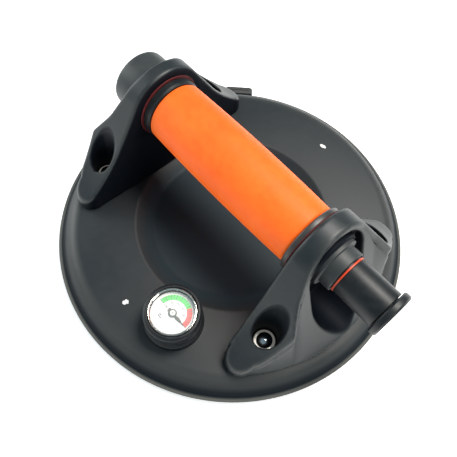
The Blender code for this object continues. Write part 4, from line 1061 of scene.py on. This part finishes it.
def makeGrip():
    half, radius = barOf("grip_sleeve")[1:]
    taper = 0.9
    count = 16
    outline = [(barrelBore, half, 0.4), (radius - taper, half, 1.4)]
    for step in range(1, count):
        along = half * (1 - 2 * step / count)
        outline.append((radius - taper * (along / half) ** 2, along))
    outline += [(radius - taper, -half, 1.4), (barrelBore, -half, 0.4)]
    turnedPiece("gripSleeve", outline, "gripOrange", "base", "grip_sleeve", steps=144)


collarShape = {
    # side: (way from the middle, bracket, collar's flare, gasket's width, finish)
    # the right collar's finish is a lighter copy of the black plastic: painted light
    "right": (1, "pumpBracket", 2.1, 2.9, "collarPaintedLight"),
    "left": (-1, "capBracket", 0.5, 1.7, "glossBlack"),
}


def makeCollars():
    # a thin red gasket stands between each collar and the bracket's wall
    bore = barrelBore
    for word, (side, bracket, flare, width, finish) in collarShape.items():
        first, last, radius = barOf("grip_collar_" + word)
        start = side * min(abs(first), abs(last))
        wall = side * (bracketShape["inner"] + bracketShape["innerShift"][bracket] - fitGap)
        wide = radius + flare
        back = wall - side * 0.65
        outline = [(bore, start, 0.2), (radius - 0.3, start, 0.3), (wide - 0.5, start + side * 0.4, 0.3),
                   (wide, start + side * 0.9, 0.5), (wide, back, 0.3), (bore, back, 0.2)]
        turnedPiece("gripCollar_" + word, outline, finish, "base", "grip_collar_" + word,
                    steps=128)
        seat = radius + width
        face = wall - side * 0.5
        outline = [(bore, face, 0.1), (seat, face, 0.15), (seat, wall, 0.15), (bore, wall, 0.1)]
        turnedPiece("hubGasket_" + word, outline, "gasketRed", "base", "hub_gasket_" + word,
                    steps=128)


def makeBarrel():
    start, end, radius = barOf("barrel_nut")
    outline = [(barrelBore, start, 0.2), (radius, start, 0.3), (radius, end - 0.9, 0.4),
               (radius - 0.9, end, 0.4), (14.1, end, 0.3), (barrelBore, end - 0.5, 0.2)]
    turnedPiece("barrelNut", outline, "bracketPlastic", "base", "barrel_nut", steps=128)
    start, end, radius = barOf("pump_barrel")
    outline = [(11.5, start, 0.3), (radius, start, 0.4), (radius, end, 0.4), (11.5, end, 0.3)]
    turnedPiece("pumpBarrel", outline, "aluminium", "base", "pump_barrel", steps=96)


def makeNose():
    start, end = barOf("barrel_nose")[:2]
    barrelEnd, barrelRadius = barOf("pump_barrel")[1:]
    flangeStart = barrelEnd + fitGap
    flangeEnd = flangeStart + 1.2
    flange, nose, bore, insert = 13.6, 11.3, 10.5, 11.2
    # the thin skirt behind the flange hides the end of the barrel and reaches into the chamfer of the nut
    skirt = barrelRadius + 0.12
    skirtStart = barOf("barrel_nut")[1] - 0.25
    outline = [(bore, end, 0.25), (nose, end, 0.5), (nose, flangeEnd, 0.4), (flange, flangeEnd, 0.35),
               (flange, skirtStart, 0.1), (skirt, skirtStart), (skirt, flangeStart),
               (insert, flangeStart, 0.1), (insert, start, 0.3), (bore, start, 0.3)]
    turnedPiece("barrelNose", outline, "capPlastic", "base", "barrel_nose", steps=128)


makeGrip()
makeCollars()
makeBarrel()
makeNose()
print("grip and barrel made")


plungerShape = {
    "radius": 10.1,
    "bore": 8.1,
    "groove": 9.4,          # floor of the groove that holds the warning ring
    "foot": 4.2,            # length of the thicker end that slides in the barrel
    "capDepth": 4.0,
}


def makePlunger():
    radius, bore, groove = (plungerShape[key] for key in ("radius", "bore", "groove"))
    ringStart, ringEnd, ringRadius = barOf("warning_ring")
    low, high, slide = barOf("plunger_body")
    footEnd = low + plungerShape["foot"]
    start, end = ringStart - 0.15, ringEnd + 0.15
    outline = [(bore, high, 0.2), (radius, high, 0.5), (radius, end, 0.25), (groove, end, 0.1),
               (groove, start, 0.1), (radius, start, 0.25), (radius, footEnd, 0.2), (slide, footEnd, 0.3),
               (slide, low, 0.3), (bore, low, 0.2)]
    turnedPiece("plungerBody", outline, "glossBlack", "plunger", "plunger_body", steps=128)
    seat = groove + 0.15
    ringStart += 0.5
    outline = [(seat, ringStart, 0.1), (ringRadius, ringStart, 0.25), (ringRadius, ringEnd, 0.25),
               (seat, ringEnd, 0.1)]
    turnedPiece("warningRing", outline, "signalRed", "plunger", "warning_ring", steps=128)
    low, high, flange = barOf("plunger_cap")
    start = high - plungerShape["capDepth"]
    outline = [(0.0, high - 0.35), (flange - 3.4, high - 0.35, 0.3), (flange - 3.0, high, 0.3),
               (flange - 0.9, high, 0.5), (flange, high - 1.0, 0.5), (flange, start + 0.7, 0.4),
               (flange - 0.6, start, 0.3), (bore - 0.3, start, 0.1), (bore - 0.3, low, 0.3), (0.0, low)]
    turnedPiece("plungerCap", outline, "glossBlack", "plunger", "plunger_cap", steps=128,
                closed=False)


makePlunger()
print("plunger made")


def makeEndCap():
    low, high, radius = barOf("end_cap")
    bore = barrelBore
    outline = [(0.0, low), (radius - 5.0, low, 1.0), (radius, low + 0.2, 2.4), (radius, high, 0.6),
               (bore, high, 0.4), (bore, high - 2.5, 0.3), (12.1, high - 2.5, 0.2), (12.1, low + 2.0, 0.8),
               (0.0, low + 2.0)]
    turnedPiece("endCap", outline, "capPlastic", "base", "end_cap", steps=128,
                closed=False)


def makeAirLine():
    spot = middleOf("air_tube")
    at = (spot.x, spot.y)
    tubeLow, tubeHigh, radius = discOf("air_tube")
    outline = [(1.9, tubeHigh, 0.1), (radius, tubeHigh, 0.3), (radius, tubeLow, 0.3), (1.9, tubeLow, 0.1)]
    turnedPiece("airTube", outline, "hoseClear", "base", "air_tube", at, 48)
    for word, outward in (("upper", -1), ("lower", 1)):
        low, high = discOf("nipple_" + word)[:2]
        if outward < 0:
            barbEnd, flangeEnd, flange = low, high, tubeHigh + fitGap
        else:
            barbEnd, flangeEnd, flange = high, low, tubeLow - fitGap
        outline = [(0.9, barbEnd, 0.1), (1.3, barbEnd, 0.1), (1.6, barbEnd - outward * 0.9, 0.1),
                   (1.35, barbEnd - outward * 1.0, 0.1), (1.6, barbEnd - outward * 2.2, 0.1),
                   (1.6, flange, 0.1), (radius, flange, 0.3)]
        if outward < 0:
            outline += [(radius, flange + 2.0, 0.3), (1.6, flange + 2.0, 0.1), (1.6, flangeEnd, 0.1)]
        else:
            outline += [(radius, flangeEnd, 0.3)]
        outline.append((0.9, flangeEnd, 0.1))
        turnedPiece("nipple_" + word + "_fine", outline, "brass", "base", "nipple_" + word, at, 48)


makeEndCap()
makeAirLine()
print("end cap and air line made")


springShape = {
    # node: piece, joint, wire's radius, turns, the joint's travel, and whether the low end stays put
    "return_spring": ("returnSpring", "plunger_push", 0.8, 8, 22.0, True),
    "valve_spring": ("valveSpring", "valve_lift", 0.3, 2, 1.2, False),
}


def makeSpring(node, name, joint, wire, turns, stroke, fromLow):
    low, high = boxOf(node)
    radius = high.z - handleHeight - wire
    steps, sides = 40 * turns, 12
    points = []
    faces = []
    start, end = low.x + wire, high.x - wire
    for step in range(steps + 1):
        share = step / steps
        # the end turns lie closer together, as ground ends do
        along = start + (end - start) * (share - 0.055 * math.sin(2 * math.pi * share))
        angle = 2 * math.pi * turns * share
        for side in range(sides):
            turn = 2 * math.pi * side / sides
            out = radius + wire * math.cos(turn)
            points.append((along + wire * math.sin(turn), out * math.cos(angle),
                           handleHeight + out * math.sin(angle)))
    for step in range(steps):
        for side in range(sides):
            following = (side + 1) % sides
            here, there = step * sides, (step + 1) * sides
            faces.append([here + side, here + following, there + following, there + side])
    faces.append(list(range(sides)))
    faces.append(list(range(steps * sides, (steps + 1) * sides)))
    spring = finishPiece(meshPiece(name, points, faces), "springSteel", "base", node)
    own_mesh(spring)


for node, settings in springShape.items():
    makeSpring(node, *settings)
print("springs made")


gaugeSpot = middleOf("gauge_dial")
gaugeAt = (gaugeSpot.x, gaugeSpot.y)
gaugeShape = {
    "bore": 4.3,
    "wall": 1.5,
    "ribs": 4,              # fine ribs run round the housing's side
    "ribDepth": 0.3,
}
dialShape = {
    "bandInner": 7.2,
    "bandOuter": 10.0,
    "greenFrom": 180.0,     # degrees round from +X
    "change": 66.0,
    "division": 18.0,
    "longTick": 0.95,       # half widths in degrees
    "shortTick": 0.6,
    "tickShorter": 1.1,
    "ink": 0.04,
    "digitRing": 5.6,
    "digitHeight": 1.35,
}


def makeGaugeBody():
    bore, wall, ribs, ribDepth = (gaugeShape[key] for key in ("bore", "wall", "ribs", "ribDepth"))
    low, high, edge = discOf("gauge_base")
    radius = edge - 0.5
    outline = [(bore, high, 0.2), (radius - wall, high, 0.5), (radius, high - 1.6, 0.9),
               (radius, low + 0.5, 0.3), (radius + 0.25, low, 0.1), (bore, low, 0.2)]
    turnedPiece("gaugeBase", outline, "glossBlack", "base", "gauge_base", gaugeAt, 96)
    low, high, radius = discOf("gauge_housing")
    inner, valley = radius - wall, radius - ribDepth
    outline = [(bore, low + 1.5, 0.2), (inner, low + 1.5, 0.3), (inner, high, 0.2), (radius, high, 0.2)]
    pitch = (high - low - 3.8) / ribs
    for rib in range(ribs):
        top = high - 2.6 - rib * pitch
        outline += [(radius, top, 0.1), (valley, top - 0.2, 0.1), (valley, top - pitch * 0.45, 0.1),
                    (radius, top - pitch * 0.6, 0.1)]
    outline += [(radius, low, 0.4), (bore, low, 0.2)]
    turnedPiece("gaugeHousing", outline, "glossBlack", "base", "gauge_housing", gaugeAt, 128)


def makeGaugeTop():
    lensLow, lensHigh, lensEdge = discOf("gauge_lens")
    rimLow, rimHigh, rimEdge = discOf("gauge_rim")
    low, high, edge = discOf("gauge_bezel")
    outer, side = edge - 0.7, rimEdge + fitGap
    outline = [(side, high - 0.15, 0.2), (side + 0.35, high, 0.2), (outer - 1.2, high, 0.8),
               (outer, high - 1.3, 0.8), (outer, low, 0.2), (outer - 0.7, low, 0.1),
               (outer - 0.7, lensLow, 0.1), (side, lensLow, 0.1)]
    turnedPiece("gaugeBezel", outline, "glossBlack", "base", "gauge_bezel", gaugeAt, 128)
    inner = lensEdge - 0.9
    middle = (inner + rimEdge) / 2
    outline = [(inner, rimLow + 0.15, 0.1), (inner + 0.45, rimHigh - 0.25, 0.25),
               (middle - 0.15, rimHigh, 0.25), (middle, rimHigh - 0.22, 0.1), (middle + 0.15, rimHigh, 0.25),
               (rimEdge - 0.3, rimHigh, 0.25), (rimEdge, rimHigh - 0.35, 0.15), (rimEdge, rimLow, 0.1),
               (inner, rimLow, 0.1)]
    turnedPiece("gaugeRim", outline, "chrome", "base", "gauge_rim", gaugeAt, 160)
    outline = [(0.0, lensHigh), (lensEdge, lensHigh - 0.1, 0.2), (lensEdge, lensLow, 0.2), (0.0, lensLow)]
    turnedPiece("gaugeLens", outline, "lens", "base", "gauge_lens", gaugeAt, 96, closed=False)
    low, high, edge = discOf("gauge_dial")
    outline = [(0.85, high), (edge, high, 0.15), (edge, low, 0.15), (0.85, low)]
    turnedPiece("gaugeDial", outline, "dialWhite", "base", "gauge_dial", gaugeAt, 96)


def sector(inner, outer, start, end, steps):
    turns = [math.radians(start + (end - start) * step / steps) for step in range(steps + 1)]
    points = [(outer * math.cos(turn), outer * math.sin(turn)) for turn in turns]
    return points + [(inner * math.cos(turn), inner * math.sin(turn)) for turn in reversed(turns)]


def makeDialPrint():
    shape = dialShape
    top, ink = discOf("gauge_dial")[1], shape["ink"]
    sunk = top - 0.05
    inner, outer, change = shape["bandInner"], shape["bandOuter"], shape["change"]
    green = sector(inner, outer, change, shape["greenFrom"], 60)
    slabPiece("dialGreenBand", [green], sunk, top + ink, "dialGreen", "base", None, gaugeAt)
    red = sector(inner, outer, 0.0, change, 34)
    slabPiece("dialRedBand", [red], sunk, top + ink, "dialRed", "base", None, gaugeAt)
    ticks = []
    count = int(shape["greenFrom"] / shape["division"] * 2)
    for step in range(count + 1):
        middle = step * shape["division"] / 2
        long = step % 2 == 0
        half = shape["longTick"] if long else shape["shortTick"]
        start = inner if long else inner + shape["tickShorter"]
        ticks.append(sector(start, outer, middle - half, middle + half, 2))
    slabPiece("dialTicks", ticks, sunk, top + 2 * ink, "dialInk", "base", None, gaugeAt)
    marks = []
    for digit in range(6):
        turn = math.radians(shape["greenFrom"] * digit / 5)
        text = bpy.data.curves.new("digit", "FONT")
        text.body = str(20 * digit)
        text.size = shape["digitHeight"] * 1.4 * mm
        text.extrude = 0.03 * mm
        text.align_x = "CENTER"
        text.align_y = "CENTER"
        text.resolution_u = 3
        holder = bpy.data.objects.new("digit", text)
        bpy.context.scene.collection.objects.link(holder)
        bpy.context.view_layer.update()
        solid = holder.evaluated_get(bpy.context.evaluated_depsgraph_get())
        mesh = bpy.data.meshes.new_from_object(solid)
        place = Vector((gaugeAt[0] + shape["digitRing"] * math.cos(turn),
                        gaugeAt[1] + shape["digitRing"] * math.sin(turn), top + 0.03))
        mesh.transform(Matrix.Translation(place * mm))
        bpy.data.objects.remove(holder, do_unlink=True)
        marks.append(mesh)
    joined = bmesh.new()
    for mesh in marks:
        joined.from_mesh(mesh)
    bmesh.ops.remove_doubles(joined, verts=joined.verts[:], dist=0.000002)
    mesh = bpy.data.meshes.new("dialNumbers")
    joined.to_mesh(mesh)
    joined.free()
    numbers = bpy.data.objects.new("dialNumbers", mesh)
    bpy.context.scene.collection.objects.link(numbers)
    finishPiece(numbers, "dialInk", "base", None)
    # two plain bars stand where a dial's small print would be
    bars = [[(-4.6, -5.2), (-2.9, -5.2), (-2.9, -4.7), (-4.6, -4.7)],
            [(-4.6, -6.2), (-2.2, -6.2), (-2.2, -5.7), (-4.6, -5.7)]]
    slabPiece("dialMark", bars, sunk, top + ink, "dialInk", "base", None, gaugeAt)


needleShape = {
    "thick": 0.45,
    "hub": 2.15,
    "eye": 1.42,            # radius of the white middle
    "pin": 0.34,
    "arbor": 0.5,
}


def makeNeedle():
    shape = needleShape
    low, high = boxOf("gauge_needle")
    top = high.z
    reach = high.x - gaugeSpot.x
    tail = gaugeSpot.x - low.x
    hub, eye, pin, arbor = (shape[key] for key in ("hub", "eye", "pin", "arbor"))
    side = [(reach, 0.10), (reach - 2.2, 0.22), (reach - 4.0, 0.72), (reach - 5.6, 0.62), (hub + 0.25, 0.42)]
    turns = [math.radians(turn) for turn in range(14, 156, 10)]
    ring = [(hub * math.cos(turn), hub * math.sin(turn)) for turn in turns]
    back = [(-hub - 0.3, 0.62), (-tail + 0.9, 0.95), (-tail + 0.25, 0.72), (-tail, 0.25)]
    half = side + ring + back
    outline = half + [(x, -y) for x, y in reversed(half)]
    slabPiece("needleBlade", [outline], top - shape["thick"], top, "needleGrey", "needle", "gauge_needle",
              gaugeAt)
    corners = [(0.0, top + 0.18), (eye, top + 0.18, 0.12), (eye, top - 0.1, 0.05), (0.0, top - 0.1)]
    turnedPiece("needleHub", corners, "dialWhite", "needle", None, gaugeAt, 64, closed=False)
    corners = [(0.0, top + 0.28), (pin, top + 0.26, 0.05), (pin, top + 0.1), (0.0, top + 0.1)]
    turnedPiece("needlePin", corners, "needleGrey", "needle", None, gaugeAt, 32, closed=False)
    arborLow = boxOf("gauge_movement")[0].z + fitGap
    corners = [(0.0, top - 0.2), (arbor, top - 0.2), (arbor, arborLow, 0.1), (0.0, arborLow)]
    turnedPiece("needleArbor", corners, "steel", "needle", None, gaugeAt, 32, closed=False)


makeGaugeBody()
makeGaugeTop()
makeDialPrint()
makeNeedle()
print("gauge made")


innerFinishes = {
    # these keep their own shapes and take finished materials
    "backing_plate": "aluminium", "piston_rod": "steel", "piston": "whitePlastic",
    "piston_seal": "tabRubber", "rod_guide": "whitePlastic", "valve_seat": "brass",
    "valve_poppet": "tabRubber", "valve_cage": "whitePlastic", "gauge_stem": "brass",
    "gauge_movement": "brass", "insert_front_right": "brass", "insert_rear_right": "brass",
    "insert_front_left": "brass", "insert_rear_left": "brass",
}
for node, finish in innerFinishes.items():
    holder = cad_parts[node]
    holder.data.materials.clear()
    holder.data.materials.append(finishes[finish])
print("inner pieces finished")
